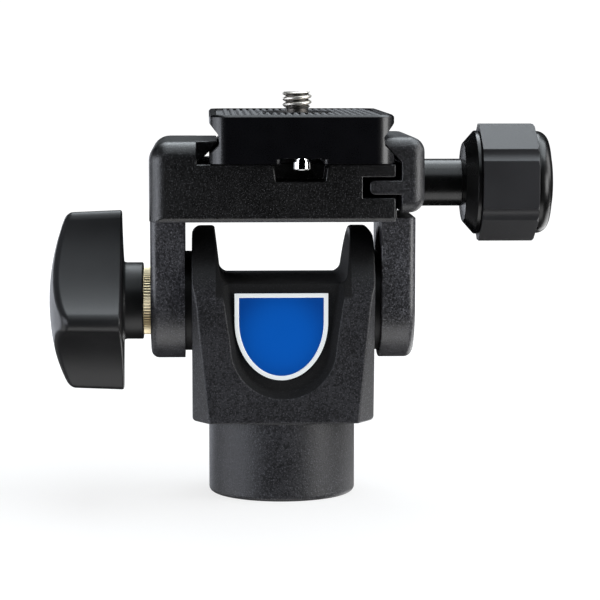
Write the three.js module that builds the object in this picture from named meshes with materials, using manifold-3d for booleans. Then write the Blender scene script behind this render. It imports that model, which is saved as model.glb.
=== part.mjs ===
// Tilt head for a monopod, with a dovetail quick release clamp, its plate and its two knobs.
// Millimetres. X runs along the tilt axis, Y points to the back, Z points up.
import * as THREE from 'three';
import { mergeVertices } from 'three/addons/utils/BufferGeometryUtils.js';
import Module from 'manifold-3d';

// Fits shared by all the pieces
const clearance = 0.3;
const glueGap = 0.1;
const smallEdge = 0.35;
const overrun = 2;

// Base casting: a round foot, and a fork block whose two arms rise beside a saddle
const footRadius = 16;
const footEdge = 1;
const footHeight = 17.1;
const forkHalfWidth = 19.6;
const forkHalfDepth = 16.5;
const forkFootEdge = 0.8;
const pivotHeight = 42.1;
const saddleRise = 5.2;
const saddleRadius = 1.8;
const armRootThickness = 6.2;
const armTipThickness = 4.9;
const armOuterRadius = 2.4;
const armInnerRadius = 0.8;
const cornerBevelWidth = 3.6;
const cornerBevelDepth = 5.6;
const cornerBevelRise = 7.9;
const cornerBevelTopWidth = 0.2;
const recessDepth = 1.75;
const recessSlope = 1.2;
const recessRise = 5.3;
const recessRadius = 11.3;
const recessFlare = 2.2;

// Screw socket in the foot, lined with a steel insert
const socketRadius = 4.76;
const insertWall = 1.24;
const insertLength = 11;
const socketEnd = 1;

// Shield-shaped badge plate in the front recess
const badgeMargin = 1.3;
const badgeDrop = 2.2;
const badgeLift = 4;
const badgeStraight = 6.1;
const badgeThickness = 0.6;
const badgeRim = 0.95;
const badgeRimHeight = 0.2;
const badgeOffset = -0.5;

// Tilt axis: bolt, bushes, friction washers and the ears that carry the platform
const boltRadius = 3;
const boltReach = 7.3;
const boltHeadRim = 2.5;
const boltHeadHeight = 4.1;
const boltHeadEdge = 0.5;
const boltHexRadius = 2.9;
const boltHexDepth = 2.2;
const bushWall = 1.7;
const bushLength = 5.4;
const earGap = 1.5;
const earThickness = 7.4;
const earRim = 1.6;
const earEdge = 2.5;
const earHeadWall = 2.6;
const washerRadius = 10.9;
const washerRecess = 0.5;

// Tilting platform: floor of the clamp, fixed jaw, and the slot for the sliding jaw
const swingClearance = 2;
const earOverlap = 2.3;
const platformHalfDepth = 21;
const platformThickness = 12.2;
const platformEdge = 3;
const platformCorner = 4;
const platformChamfer = 0.8;
const lipThickness = 0.48;
const lipSetback = 4;
const lipTipGap = 0.4;
const ledgeDrop = 1.5;
const notchTopHalfWidth = 5.6;
const notchFlank = 0.4;
const notchDrop = 3.6;
const clampDrop = 4.9;
const slotDepth = 6.9;
const screwBoreSpare = 1;

// Sliding jaw
const jawGap = 1.3;
const jawThickness = 5;
const jawDrop = 5.4;
const jawLipThickness = 0.78;
const jawLipRise = 0.6;
const jawLipSlope = 1.4;
const jawCorner = 3.2;
const jawEdge = 2.8;
const tongueHalfHeight = 1.5;
const tongueSideGap = 0.7;
const tongueEndGap = 1.5;
const tongueRadius = 1.2;
const jawWasherThickness = 0.7;
const jawCounterbore = 1.6;

// Return springs between the platform and the jaw's tongue
const springRadius = 1.5;
const springWireRadius = 0.25;
const springPocketDepth = 7.5;
const springSpacing = 13;

// Clamp knob: screw, black hub, hexagonal rubber grip and end cap
const clampScrewRadius = 3;
const clampScrewReach = 1;
const hubShaftRadius = 5.15;
const hubShaftLength = 10;
const hubFaceRadius = 8.6;
const hubFaceLean = 0.5;
const flangeRadius = 11.3;
const flangeCone = 2.4;
const flangeThickness = 1.2;
const flangeEdge = 0.3;
const hubCoreRadius = 8;
const hubWall = 2;
const hubBoreSpare = 1;
const gripLength = 11.7;
const gripFlat = 11.85;
const gripGrooveHalfWidth = 1.43;
const gripGrooveDepth = 0.55;
const gripEdge = 0.4;
const capLength = 4.2;
const capRadius = 11.2;
const capCrown = 0.9;
const capShoulder = 2.6;
const capSpigotRadius = 4;
const capSpigotLength = 3;

// Tilt knob: four rounded lobes round a domed face, on a brass insert
const knobHeight = 16;
const knobDomeRadius = 50;
const knobTipRadius = 20.3;
const knobValleyRadius = 12.5;
const knobLobeRadius = 2.3;
const knobDraft = 0.5;
const knobRimEdge = 1.2;
const knobBackEdge = 0.5;
const knobLobeTurn = 9;
const neckWall = 2.1;
const neckLength = 4.5;
const neckFillet = 0.9;
const brassShow = 1.7;
const brassWall = 2.7;
const brassCollar = 1.4;
const brassReach = 9.3;
const brassRecess = 0.5;
const brassEdge = 0.2;

// Quick release plate with its dovetail, pad, stop pins and camera screw
const plateHalfWidth = 19.2;
const plateHalfLength = 30;
const plateSideGap = 2.1;
const plateLift = 0.5;
const plateTravel = 10;
const flankDepth = 2.1;
const lowerBand = 1.7;
const neckBand = 1.2;
const upperFlare = 3.9;
const upperBand = 1.2;
const plateCornerRadius = 4;
const plateBottomEdge = 0.4;
const plateTopEdge = 0.35;
const grooveHalfWidth = 4.6;
const grooveDepth = 1.2;
const padRim = 1.3;
const padPocket = 0.9;
const padIsland = 2.6;
const padIslandStretch = 2.5;
const pinStemRadius = 1.3;
const pinShoulder = 0.55;
const pinStemLength = 5.7;
const pinDrop = 1.4;
const pinInset = 3.5;
const pinStopGap = 1.15;
const screwRadius = 3.175;
const screwRise = 4.3;
const screwTipEdge = 0.5;
const screwRelief = 0.775;
const screwReliefRise = 0.7;
const screwHeadRadius = 7;
const screwHeadHeight = 2.4;
const screwHeadLift = 1.1;
const screwSlotHalfWidth = 0.8;
const screwSlotDepth = 1.2;
const clipRadius = 4.9;
const clipThickness = 0.8;
const clipRecess = 1.4;

// Facets of round forms
const roundSides = 40;
const smallRoundSides = 24;
const hexSides = 6;
const pinSides = 16;
const arcSteps = 3;
const wideArcSteps = 12;
const bevelSteps = 4;
const lobeTipSteps = 5;
const lobeValleySteps = 8;
const springTurns = 7;
const springStepsPerTurn = 8;
const springSides = 5;
const capShoulderSteps = 6;

// Shares of a width at which a curved face gets its points
const grooveShares = [-1, -0.5, 0, 0.5, 1];
const domeShares = [0.7, 0.4];
const crownShare = 0.5;

// Heights that follow from the sizes above, from the foot up
const saddleHeight = pivotHeight + saddleRise;
const armTop = pivotHeight + forkHalfDepth;
const cornerBevelTop = pivotHeight + cornerBevelRise;
const recessBottom = footHeight + recessRise;
const badgeTop = saddleHeight - badgeDrop;
const badgeBottom = recessBottom + badgeLift;
const badgeRoundHeight = badgeTop - badgeBottom - badgeStraight;
const platformBottom = armTop + swingClearance;
const platformFloor = platformBottom + platformThickness;
const notchFloor = platformFloor - notchDrop;
const clampAxis = platformFloor - clampDrop;
const jawBottom = clampAxis - jawDrop;
const ledgeHeight = jawBottom - ledgeDrop;
const plateBottom = platformFloor + plateLift;
const plateFlareTop = plateBottom + lowerBand;
const plateNeckBottom = plateFlareTop + flankDepth;
const plateNeckTop = plateNeckBottom + neckBand;
const plateUpperFlare = plateNeckTop + upperFlare;
const plateTop = plateUpperFlare + upperBand;
const flankShift = clearance * Math.SQRT2;
const lipTipHeight = plateNeckBottom + flankShift - lipTipGap;
const fixedJawTop = lipTipHeight + lipThickness;
const jawLipTop = lipTipHeight + jawLipThickness;
const jawTop = jawLipTop + jawLipRise;
const pinBottom = plateBottom - pinDrop;
const pinStemEnd = plateBottom + pinStemLength;
const screwTop = plateTop + screwRise;
const screwNeckTop = plateTop + screwReliefRise;

// Places along the tilt axis, outwards from the fork
const saddleHalfWidth = forkHalfWidth - armRootThickness;
const armTopHalfGap = forkHalfWidth - armTipThickness;
const earInner = forkHalfWidth + earGap;
const earOuter = earInner + earThickness;
const neckEnd = earOuter + brassShow;
const knobBack = neckEnd + neckLength;
const knobApex = knobBack + knobHeight;
const brassBodyEnd = knobBack + brassReach;
const boltTip = knobBack + boltReach;
const platformRight = earInner + earOverlap;
const slotEnd = platformRight - slotDepth;
const tongueEnd = slotEnd + tongueEndGap;
const jawInner = platformRight + jawGap;
const jawOuter = jawInner + jawThickness;
const hubShaftEnd = jawOuter + hubShaftLength;
const flangeConeEnd = hubShaftEnd + flangeCone;
const flangeEnd = flangeConeEnd + flangeThickness;
const gripEnd = flangeEnd + gripLength;
const capEnd = gripEnd + capLength;
const hubBoreEnd = gripEnd - capSpigotLength - hubWall;
const clampScrewEnd = hubBoreEnd - hubBoreSpare;
const screwBoreReach = clampScrewReach + screwBoreSpare;
const plateCentre = jawInner - plateSideGap - plateHalfWidth;
const headCentre = (capEnd - knobApex) / 2;

// Widths, depths and radii that follow from their neighbours
const insertRadius = socketRadius + insertWall;
const badgeHalfWidth = recessRadius - badgeMargin;
const recessTopHalfWidth = recessRadius + recessFlare;
const bushRadius = boltRadius + clearance + bushWall;
const boltHeadRadius = boltRadius + boltHeadRim;
const earHalfDepth = washerRadius + earRim;
const lipHalfLength = platformHalfDepth - lipSetback;
const notchFloorHalfWidth = notchTopHalfWidth - notchFlank;
const slotHalfHeight = tongueHalfHeight + tongueSideGap;
const jawWasherRadius = hubShaftRadius;
const brassBodyRadius = boltRadius + clearance + brassWall;
const brassRadius = brassBodyRadius + brassCollar;
const neckRadius = brassBodyRadius + clearance + neckWall;
const plateNeckHalfWidth = plateHalfWidth - flankDepth;
const padHoleHalfWidth = clipRadius + padIsland;
const padHoleHalfLength = padHoleHalfWidth + padIslandStretch;
const pinRadius = pinStemRadius + pinShoulder;
const pinPlace = plateHalfLength - pinInset;
const notchEnd = pinPlace - plateTravel - pinRadius - pinStopGap;
const screwNeckRadius = screwRadius - screwRelief;

const wasm = await Module();
wasm.setup();

// A closed mesh as a solid that can be cut and joined
function solidOf(geometry) {
  const bare = geometry.index ? geometry.toNonIndexed() : geometry.clone();
  for (const name of ['normal', 'uv']) bare.deleteAttribute(name);
  const welded = mergeVertices(bare);
  const kept = [];
  const corners = welded.index.array;
  for (let i = 0; i < corners.length; i += 3) {
    const [a, b, c] = corners.slice(i, i + 3);
    if (a !== b && b !== c && c !== a) kept.push(a, b, c);
  }
  const mesh = new wasm.Mesh({
    numProp: 3,
    vertProperties: new Float32Array(welded.attributes.position.array),
    triVerts: new Uint32Array(kept),
  });
  return new wasm.Manifold(mesh);
}

function geometryOf(solid) {
  const mesh = solid.getMesh();
  const geometry = new THREE.BufferGeometry();
  geometry.setAttribute('position', new THREE.BufferAttribute(mesh.vertProperties, 3));
  geometry.setIndex(new THREE.BufferAttribute(mesh.triVerts, 1));
  return geometry;
}

function join(...geometries) {
  return geometryOf(geometries.map(solidOf).reduce((whole, piece) => whole.add(piece)));
}

function cut(body, ...tools) {
  return geometryOf(tools.map(solidOf).reduce((rest, tool) => rest.subtract(tool), solidOf(body)));
}

function common(first, second) {
  return geometryOf(solidOf(first).intersect(solidOf(second)));
}

// A shape drawn as x and z in front view, carried from one depth to another
function alongY(shape, from, to, options = {}) {
  const bevel = options.bevel ?? 0;
  const geometry = new THREE.ExtrudeGeometry(shape, {
    depth: to - from - 2 * bevel,
    bevelEnabled: bevel > 0,
    bevelThickness: bevel,
    bevelSize: options.bevelSize ?? bevel,
    bevelOffset: -(options.bevelSize ?? bevel),
    bevelSegments: options.bevelSegments ?? bevelSteps,
    curveSegments: options.curveSegments ?? arcSteps,
  });
  return geometry.translate(0, 0, bevel).rotateX(Math.PI / 2).translate(0, to, 0);
}

// A shape drawn as y and z in side view, carried from one width to another
function alongX(shape, from, to, options = {}) {
  const bevel = options.bevel ?? 0;
  const geometry = new THREE.ExtrudeGeometry(shape, {
    depth: to - from - 2 * bevel,
    bevelEnabled: bevel > 0,
    bevelThickness: bevel,
    bevelSize: bevel,
    bevelOffset: -bevel,
    bevelSegments: bevelSteps,
    curveSegments: options.curveSegments ?? arcSteps,
  });
  const sideways = new THREE.Matrix4().makeBasis(
    new THREE.Vector3(0, 1, 0),
    new THREE.Vector3(0, 0, 1),
    new THREE.Vector3(1, 0, 0),
  );
  return geometry.translate(0, 0, bevel).applyMatrix4(sideways).translate(from, 0, 0);
}

// A shape drawn in plan, carried upwards
function alongZ(shape, from, to, curveSegments = arcSteps) {
  const geometry = new THREE.ExtrudeGeometry(shape, {
    depth: to - from,
    bevelEnabled: false,
    curveSegments,
  });
  return geometry.translate(0, 0, from);
}

// The angles of a quarter circle, in equal steps
function quarterAngles(steps) {
  return Array.from({ length: steps + 1 }, (_, step) => (step / steps) * (Math.PI / 2));
}

// A profile of [radius, height] points turned round an axis
function turned(points, sides = roundSides) {
  return new THREE.LatheGeometry(points.map(([r, h]) => new THREE.Vector2(r, h)), sides);
}

function turnedAlongX(points, sides) {
  return turned(points, sides).rotateZ(-Math.PI / 2);
}

function turnedAlongZ(points, sides) {
  return turned(points, sides).rotateX(Math.PI / 2);
}

function rodProfile(radius, from, to) {
  return [[0, from], [radius, from], [radius, to], [0, to]];
}

function tubeProfile(inner, outer, from, to) {
  return [[inner, from], [outer, from], [outer, to], [inner, to], [inner, from]];
}

function blockBetween(low, high) {
  const size = new THREE.Vector3().subVectors(high, low);
  const centre = new THREE.Vector3().addVectors(low, high).multiplyScalar(1 / 2);
  return new THREE.BoxGeometry(...size.toArray()).translate(...centre.toArray());
}

function block(x0, x1, y0, y1, z0, z1) {
  return blockBetween(new THREE.Vector3(x0, y0, z0), new THREE.Vector3(x1, y1, z1));
}

// A closed outline of [x, y, corner radius] points, each corner rounded by a true arc
function outline(corners) {
  const shape = new THREE.Shape();
  corners.forEach(([x, y, radius = 0], i) => {
    const corner = new THREE.Vector2(x, y);
    const [px, py] = corners[(i + corners.length - 1) % corners.length];
    const [nx, ny] = corners[(i + 1) % corners.length];
    const back = new THREE.Vector2(px, py).sub(corner).normalize();
    const ahead = new THREE.Vector2(nx, ny).sub(corner).normalize();
    const half = Math.acos(back.dot(ahead)) / 2;
    const reach = radius / Math.tan(half);
    const start = corner.clone().addScaledVector(back, reach);
    const end = corner.clone().addScaledVector(ahead, reach);
    const place = i === 0 ? 'moveTo' : 'lineTo';
    shape[place](start.x, start.y);
    if (radius > 0) {
      const middle = back.clone().add(ahead).normalize();
      const centre = corner.clone().addScaledVector(middle, radius / Math.sin(half));
      const from = start.clone().sub(centre);
      const to = end.clone().sub(centre);
      const clockwise = from.cross(to) < 0;
      shape.absarc(centre.x, centre.y, radius, from.angle(), to.angle(), clockwise);
    }
  });
  return shape;
}

// Base casting

function forkFront() {
  return outline([
    [-forkHalfWidth, footHeight, forkFootEdge],
    [forkHalfWidth, footHeight, forkFootEdge],
    [forkHalfWidth, armTop, armOuterRadius],
    [armTopHalfGap, armTop, armInnerRadius],
    [saddleHalfWidth, saddleHeight, saddleRadius],
    [-saddleHalfWidth, saddleHeight, saddleRadius],
    [-armTopHalfGap, armTop, armInnerRadius],
    [-forkHalfWidth, armTop, armOuterRadius],
  ]);
}

function forkSide() {
  const shape = new THREE.Shape();
  shape.moveTo(-forkHalfDepth, footHeight - overrun);
  shape.lineTo(forkHalfDepth, footHeight - overrun);
  shape.lineTo(forkHalfDepth, pivotHeight);
  shape.absarc(0, pivotHeight, forkHalfDepth, 0, Math.PI, false);
  return shape;
}

// The plane that bevels one upright corner of the fork, wider towards the foot
function cornerCutter(sideX, sideY) {
  const foot = new THREE.Vector3(forkHalfWidth, forkHalfDepth - cornerBevelDepth, footHeight);
  const front = new THREE.Vector3(forkHalfWidth - cornerBevelWidth, forkHalfDepth, footHeight);
  const top = new THREE.Vector3(forkHalfWidth - cornerBevelTopWidth, forkHalfDepth, cornerBevelTop);
  const plane = new THREE.Plane().setFromCoplanarPoints(foot, front, top);
  if (plane.normal.x < 0) plane.negate();
  const reach = armTop;
  const tool = new THREE.BoxGeometry(2 * reach, 2 * reach, reach).translate(0, 0, reach / 2);
  tool.applyQuaternion(
    new THREE.Quaternion().setFromUnitVectors(new THREE.Vector3(0, 0, 1), plane.normal),
  );
  tool.translate(...front.toArray());
  tool.applyMatrix4(new THREE.Matrix4().makeScale(sideX, sideY, 1));
  return sideX === sideY ? tool : turnedInsideOut(tool);
}

// A mirrored mesh has its faces turned round again so that they point out
function turnedInsideOut(geometry) {
  const index = geometry.index.array;
  for (let i = 0; i < index.length; i += 3) {
    const first = index[i];
    index[i] = index[i + 1];
    index[i + 1] = first;
  }
  return geometry;
}

function recessCutter() {
  const centreHeight = recessBottom + recessRadius;
  const top = saddleHeight + recessSlope + clearance;
  const shape = new THREE.Shape();
  shape.moveTo(recessTopHalfWidth, top);
  shape.lineTo(-recessTopHalfWidth, top);
  shape.lineTo(-recessRadius, centreHeight);
  shape.absarc(0, centreHeight, recessRadius, Math.PI, 2 * Math.PI, false);
  return alongY(shape, -forkHalfDepth - recessDepth - overrun, -forkHalfDepth + recessDepth, {
    bevel: recessDepth,
    bevelSize: recessSlope,
    bevelSegments: 1,
    curveSegments: wideArcSteps,
  });
}

function footBody() {
  const inside = footHeight + overrun;
  const arc = quarterAngles(arcSteps).map((angle) => [
    footRadius - footEdge * (1 - Math.sin(angle)),
    footEdge * (1 - Math.cos(angle)),
  ]);
  return turnedAlongZ([[0, 0], ...arc, [footRadius, inside], [0, inside]]);
}

function baseBody() {
  const fork = common(
    alongY(forkFront(), -forkHalfDepth, forkHalfDepth),
    alongX(forkSide(), -forkHalfWidth, forkHalfWidth, { curveSegments: wideArcSteps }),
  );
  const corners = [-1, 1].flatMap((x) => [-1, 1].map((y) => cornerCutter(x, y)));
  const recesses = [recessCutter(), recessCutter().rotateZ(Math.PI)];
  const reach = forkHalfWidth + overrun;
  const bore = turnedAlongX(rodProfile(boltRadius + clearance, -reach, reach), smallRoundSides);
  const seats = [-1, 1].flatMap((side) => bushSeats(side));
  const socketDepth = insertLength + 2 * clearance + socketEnd;
  const socket = turnedAlongZ(
    rodProfile(insertRadius + clearance, -overrun, socketDepth),
    smallRoundSides,
  );
  return cut(
    join(cut(fork, ...corners), footBody()),
    ...recesses,
    bore.translate(0, 0, pivotHeight),
    ...seats,
    socket,
  );
}

// The seat of a bush and the shallow seat of a friction washer, on one side of the fork
function bushSeats(side) {
  const inner = forkHalfWidth - washerRecess - bushLength - clearance;
  const bush = rodProfile(bushRadius + clearance, inner, forkHalfWidth + overrun);
  const washer = rodProfile(
    washerRadius + clearance,
    forkHalfWidth - washerRecess,
    forkHalfWidth + overrun,
  );
  const turn = side > 0 ? 0 : Math.PI;
  return [
    turnedAlongX(bush, smallRoundSides).rotateZ(turn).translate(0, 0, pivotHeight),
    turnedAlongX(washer).rotateZ(turn).translate(0, 0, pivotHeight),
  ];
}

function threadInsert() {
  return turnedAlongZ(
    tubeProfile(socketRadius, insertRadius, clearance, clearance + insertLength),
    smallRoundSides,
  );
}

function badgeShape(inset) {
  const halfWidth = badgeHalfWidth - inset;
  const roundHeight = badgeRoundHeight - inset;
  const centreHeight = badgeBottom + badgeRoundHeight;
  const shape = new THREE.Shape();
  shape.moveTo(halfWidth, badgeTop - inset);
  shape.lineTo(-halfWidth, badgeTop - inset);
  shape.lineTo(-halfWidth, centreHeight);
  shape.absellipse(0, centreHeight, halfWidth, roundHeight, Math.PI, 2 * Math.PI, false);
  return shape;
}

function badgePlate() {
  const plate = alongY(badgeShape(0), 0, badgeThickness, { curveSegments: wideArcSteps });
  const field = alongY(badgeShape(badgeRim), -overrun, badgeRimHeight, {
    curveSegments: wideArcSteps,
  });
  return cut(plate, field);
}

function pivotBush() {
  return turnedAlongX(
    tubeProfile(boltRadius + clearance, bushRadius, -bushLength / 2, bushLength / 2),
    smallRoundSides,
  );
}

// Tilting platform and what turns with it

function platformEnvelope() {
  const front = outline([
    [-earOuter, platformBottom - platformEdge - overrun],
    [platformRight + platformEdge + overrun, platformBottom - platformEdge - overrun],
    [platformRight + platformEdge + overrun, fixedJawTop],
    [-earOuter, fixedJawTop, platformCorner],
  ]);
  const rounded = alongY(front, -platformHalfDepth, platformHalfDepth, { bevel: platformEdge });
  const side = outline([
    [-platformHalfDepth, platformBottom + platformChamfer],
    [-platformHalfDepth + platformChamfer, platformBottom],
    [platformHalfDepth - platformChamfer, platformBottom],
    [platformHalfDepth, platformBottom + platformChamfer],
    [platformHalfDepth, fixedJawTop + overrun],
    [-platformHalfDepth, fixedJawTop + overrun],
  ]);
  return common(rounded, alongX(side, -earOuter - overrun, platformRight));
}

function undercutHeight(x) {
  return plateFlareTop + flankShift - Math.abs(x - plateCentre) + plateHalfWidth;
}

function fixedJawInner() {
  return plateCentre - plateHalfWidth - (plateFlareTop + flankShift - platformFloor);
}

function fixedLip() {
  const inner = fixedJawInner();
  const tip = plateCentre - plateNeckHalfWidth - lipTipGap;
  const shape = outline([
    [inner - overrun, platformFloor],
    [inner, platformFloor],
    [tip, undercutHeight(tip)],
    [tip, fixedJawTop],
    [inner - overrun, fixedJawTop],
  ]);
  return alongY(shape, -lipHalfLength, lipHalfLength);
}

function earShape(top) {
  const shape = new THREE.Shape();
  shape.moveTo(earHalfDepth, top);
  shape.lineTo(-earHalfDepth, top);
  shape.lineTo(-earHalfDepth, pivotHeight);
  shape.absarc(0, pivotHeight, earHalfDepth, Math.PI, 2 * Math.PI, false);
  return shape;
}

// An ear, rounded round its outer face only
function ear(side) {
  const top = platformFloor - overrun;
  const reach = earInner - earEdge - overrun;
  const whole = alongX(earShape(top), reach, earOuter, {
    bevel: earEdge,
    curveSegments: wideArcSteps,
  });
  const deep = earHalfDepth + overrun;
  const trimmed = cut(
    whole,
    block(reach - overrun, earInner, -deep, deep, 0, top + overrun),
  );
  if (side < 0) return trimmed.rotateZ(Math.PI);
  const above = block(platformRight, earOuter + overrun, -deep, deep, ledgeHeight, top + overrun);
  return cut(trimmed, above);
}

function notchCutter() {
  const spread = (notchTopHalfWidth - notchFloorHalfWidth) / (platformFloor - notchFloor);
  const topHalfWidth = notchTopHalfWidth + spread * overrun;
  const shape = outline([
    [plateCentre - notchFloorHalfWidth, notchFloor],
    [plateCentre + notchFloorHalfWidth, notchFloor],
    [plateCentre + topHalfWidth, platformFloor + overrun],
    [plateCentre - topHalfWidth, platformFloor + overrun],
  ]);
  return alongY(shape, -platformHalfDepth - overrun, -notchEnd);
}

function springPocket(y) {
  const start = slotEnd - springPocketDepth;
  const pocket = rodProfile(springRadius + clearance, start, slotEnd + overrun);
  return turnedAlongX(pocket, pinSides).translate(0, y, clampAxis);
}

function platformBody() {
  const deep = platformHalfDepth + overrun;
  const wide = platformRight + platformEdge + overrun;
  const channel = block(fixedJawInner(), wide, -deep, deep, platformFloor, fixedJawTop + overrun);
  const bossEnd = jawInner - clearance;
  const boss = block(
    platformRight - overrun,
    bossEnd,
    -earHalfDepth,
    earHalfDepth,
    platformBottom,
    platformFloor,
  );
  const slot = block(
    slotEnd,
    wide,
    -deep,
    deep,
    clampAxis - slotHalfHeight,
    clampAxis + slotHalfHeight,
  );
  const screwBore = turnedAlongX(
    rodProfile(clampScrewRadius + clearance, -screwBoreReach, wide),
    smallRoundSides,
  ).translate(0, 0, clampAxis);
  const notches = [notchCutter(), notchCutter().rotateZ(Math.PI).translate(2 * plateCentre, 0, 0)];
  const pockets = [-springSpacing, springSpacing].map(springPocket);
  return cut(
    join(cut(platformEnvelope(), channel), fixedLip(), ear(-1), ear(1), boss),
    slot,
    screwBore,
    ...notches,
    ...pockets,
    ...pivotCutters(),
  );
}

// Bolt hole through both ears, head seat in the right ear, washer seats, brass seat in the left
function pivotCutters() {
  const reach = earOuter + overrun;
  const washerSeat = rodProfile(
    washerRadius + clearance,
    earInner - earGap / 2,
    earInner + washerRecess,
  );
  const pieces = [
    turnedAlongX(rodProfile(boltRadius + clearance, -reach, reach), smallRoundSides),
    turnedAlongX(
      rodProfile(boltHeadRadius + clearance, earInner + earHeadWall, reach),
      smallRoundSides,
    ),
    turnedAlongX(rodProfile(brassRadius + clearance, -reach, brassRecess - earOuter)),
    turnedAlongX(washerSeat),
    turnedAlongX(washerSeat).rotateZ(Math.PI),
  ];
  return pieces.map((piece) => piece.translate(0, 0, pivotHeight));
}

function frictionWasher() {
  const halfThickness = earGap / 2 + washerRecess - clearance;
  return turnedAlongX(
    tubeProfile(boltRadius + clearance, washerRadius, -halfThickness, halfThickness),
  );
}

function pivotBolt() {
  const seat = earInner + earHeadWall + clearance;
  const end = seat + boltHeadHeight;
  const body = turnedAlongX([
    [0, -boltTip],
    [boltRadius - boltHeadEdge, -boltTip],
    [boltRadius, boltHeadEdge - boltTip],
    [boltRadius, seat],
    [boltHeadRadius, seat],
    [boltHeadRadius, end - boltHeadEdge],
    [boltHeadRadius - boltHeadEdge, end],
    [0, end],
  ], smallRoundSides);
  const hex = turnedAlongX(rodProfile(boltHexRadius, end - boltHexDepth, end + overrun), hexSides);
  return cut(body, hex);
}

class SpringCurve extends THREE.Curve {
  constructor(radius, length, turns) {
    super();
    Object.assign(this, { radius, length, turns });
  }

  getPoint(t, target = new THREE.Vector3()) {
    const angle = 2 * Math.PI * this.turns * t;
    return target.set(
      this.length * t,
      this.radius * Math.cos(angle),
      this.radius * Math.sin(angle),
    );
  }
}

function jawSpring() {
  const start = slotEnd - springPocketDepth + clearance + springWireRadius;
  const end = tongueEnd - clearance - springWireRadius;
  const wire = new THREE.Shape();
  wire.absarc(0, 0, springWireRadius, 0, 2 * Math.PI, false);
  const path = new SpringCurve(springRadius - springWireRadius, end - start, springTurns);
  const spring = new THREE.ExtrudeGeometry(
    new THREE.Shape(wire.getSpacedPoints(springSides)),
    { steps: springTurns * springStepsPerTurn, extrudePath: path },
  );
  return spring.translate(start, 0, 0);
}

// Sliding jaw

function jawProfile() {
  const tip = plateCentre + plateNeckHalfWidth + lipTipGap;
  return outline([
    [jawOuter + overrun, jawBottom - overrun],
    [jawOuter + overrun, jawTop + overrun],
    [tip + jawLipSlope, jawTop + overrun],
    [tip + jawLipSlope, jawTop],
    [tip, jawLipTop],
    [tip, undercutHeight(tip)],
    [jawInner, undercutHeight(jawInner)],
    [jawInner, clampAxis + tongueHalfHeight],
    [tongueEnd, clampAxis + tongueHalfHeight, tongueRadius],
    [tongueEnd, clampAxis - tongueHalfHeight, tongueRadius],
    [jawInner, clampAxis - tongueHalfHeight],
    [jawInner, jawBottom - overrun],
  ]);
}

function slidingJaw() {
  const far = tongueEnd - jawEdge - overrun;
  const envelope = alongY(
    outline([
      [far, jawBottom],
      [jawOuter, jawBottom, jawCorner],
      [jawOuter, jawTop, jawCorner],
      [far, jawTop],
    ]),
    -platformHalfDepth,
    platformHalfDepth,
    { bevel: jawEdge },
  );
  const deep = platformHalfDepth + overrun;
  const jaw = common(alongY(jawProfile(), -deep, deep), envelope);
  const bore = turnedAlongX(
    rodProfile(clampScrewRadius + clearance, far, jawOuter + overrun),
    smallRoundSides,
  );
  const seat = turnedAlongX(
    rodProfile(jawWasherRadius + clearance, jawOuter - jawCounterbore, jawOuter + overrun),
    smallRoundSides,
  );
  return cut(jaw, bore.translate(0, 0, clampAxis), seat.translate(0, 0, clampAxis));
}

function jawWasher() {
  const start = jawOuter - jawCounterbore + clearance;
  return turnedAlongX(
    tubeProfile(
      clampScrewRadius + clearance,
      jawWasherRadius,
      start,
      start + jawWasherThickness,
    ),
    smallRoundSides,
  );
}

// Clamp knob

function clampScrew() {
  return turnedAlongX([
    [0, -clampScrewReach],
    [clampScrewRadius - smallEdge, -clampScrewReach],
    [clampScrewRadius, smallEdge - clampScrewReach],
    [clampScrewRadius, clampScrewEnd],
    [0, clampScrewEnd],
  ], smallRoundSides);
}

function clampHub() {
  const start = jawOuter - jawCounterbore + jawWasherThickness + 2 * clearance;
  return turnedAlongX([
    [clampScrewRadius + clearance, start],
    [hubShaftRadius, start],
    [hubShaftRadius, hubShaftEnd],
    [hubFaceRadius, hubShaftEnd + hubFaceLean],
    [flangeRadius, flangeConeEnd],
    [flangeRadius, flangeEnd - flangeEdge],
    [flangeRadius - flangeEdge, flangeEnd],
    [hubCoreRadius, flangeEnd],
    [hubCoreRadius, gripEnd],
    [capSpigotRadius + clearance, gripEnd],
    [capSpigotRadius + clearance, gripEnd - capSpigotLength],
    [0, gripEnd - capSpigotLength],
    [0, hubBoreEnd],
    [clampScrewRadius + clearance, hubBoreEnd],
    [clampScrewRadius + clearance, start],
  ]);
}

// Hexagon with a shallow groove along each of its six corners
function gripShape() {
  const points = [];
  for (let corner = 0; corner < hexSides; corner += 1) {
    const angle = Math.PI / 2 + (2 * Math.PI * corner) / hexSides;
    const outward = new THREE.Vector2(Math.cos(angle), Math.sin(angle));
    const across = new THREE.Vector2(-outward.y, outward.x);
    for (const share of grooveShares) {
      const sink = gripGrooveDepth * (1 - share * share);
      const point = outward.clone().multiplyScalar(gripCorner() - sink);
      points.push(point.addScaledVector(across, share * gripGrooveHalfWidth));
    }
  }
  return new THREE.Shape(points);
}

function hexGrip() {
  const body = alongX(gripShape(), flangeEnd + clearance, gripEnd);
  const ends = turnedAlongX([
    [0, flangeEnd],
    [gripCorner() - 2 * gripEdge, flangeEnd],
    [gripCorner() + clearance, flangeEnd + 2 * gripEdge],
    [gripCorner() + clearance, gripEnd - gripEdge],
    [gripCorner() - gripEdge, gripEnd + clearance],
    [0, gripEnd + clearance],
  ]);
  const bore = turnedAlongX(
    rodProfile(hubCoreRadius + clearance, flangeEnd - overrun, gripEnd + overrun),
  );
  return cut(common(body, ends), bore);
}

// How far the lips of the corner grooves lie from the axis
function gripCorner() {
  const half = Math.PI / hexSides;
  return gripFlat / Math.cos(half) - gripGrooveHalfWidth * Math.tan(half);
}

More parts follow.
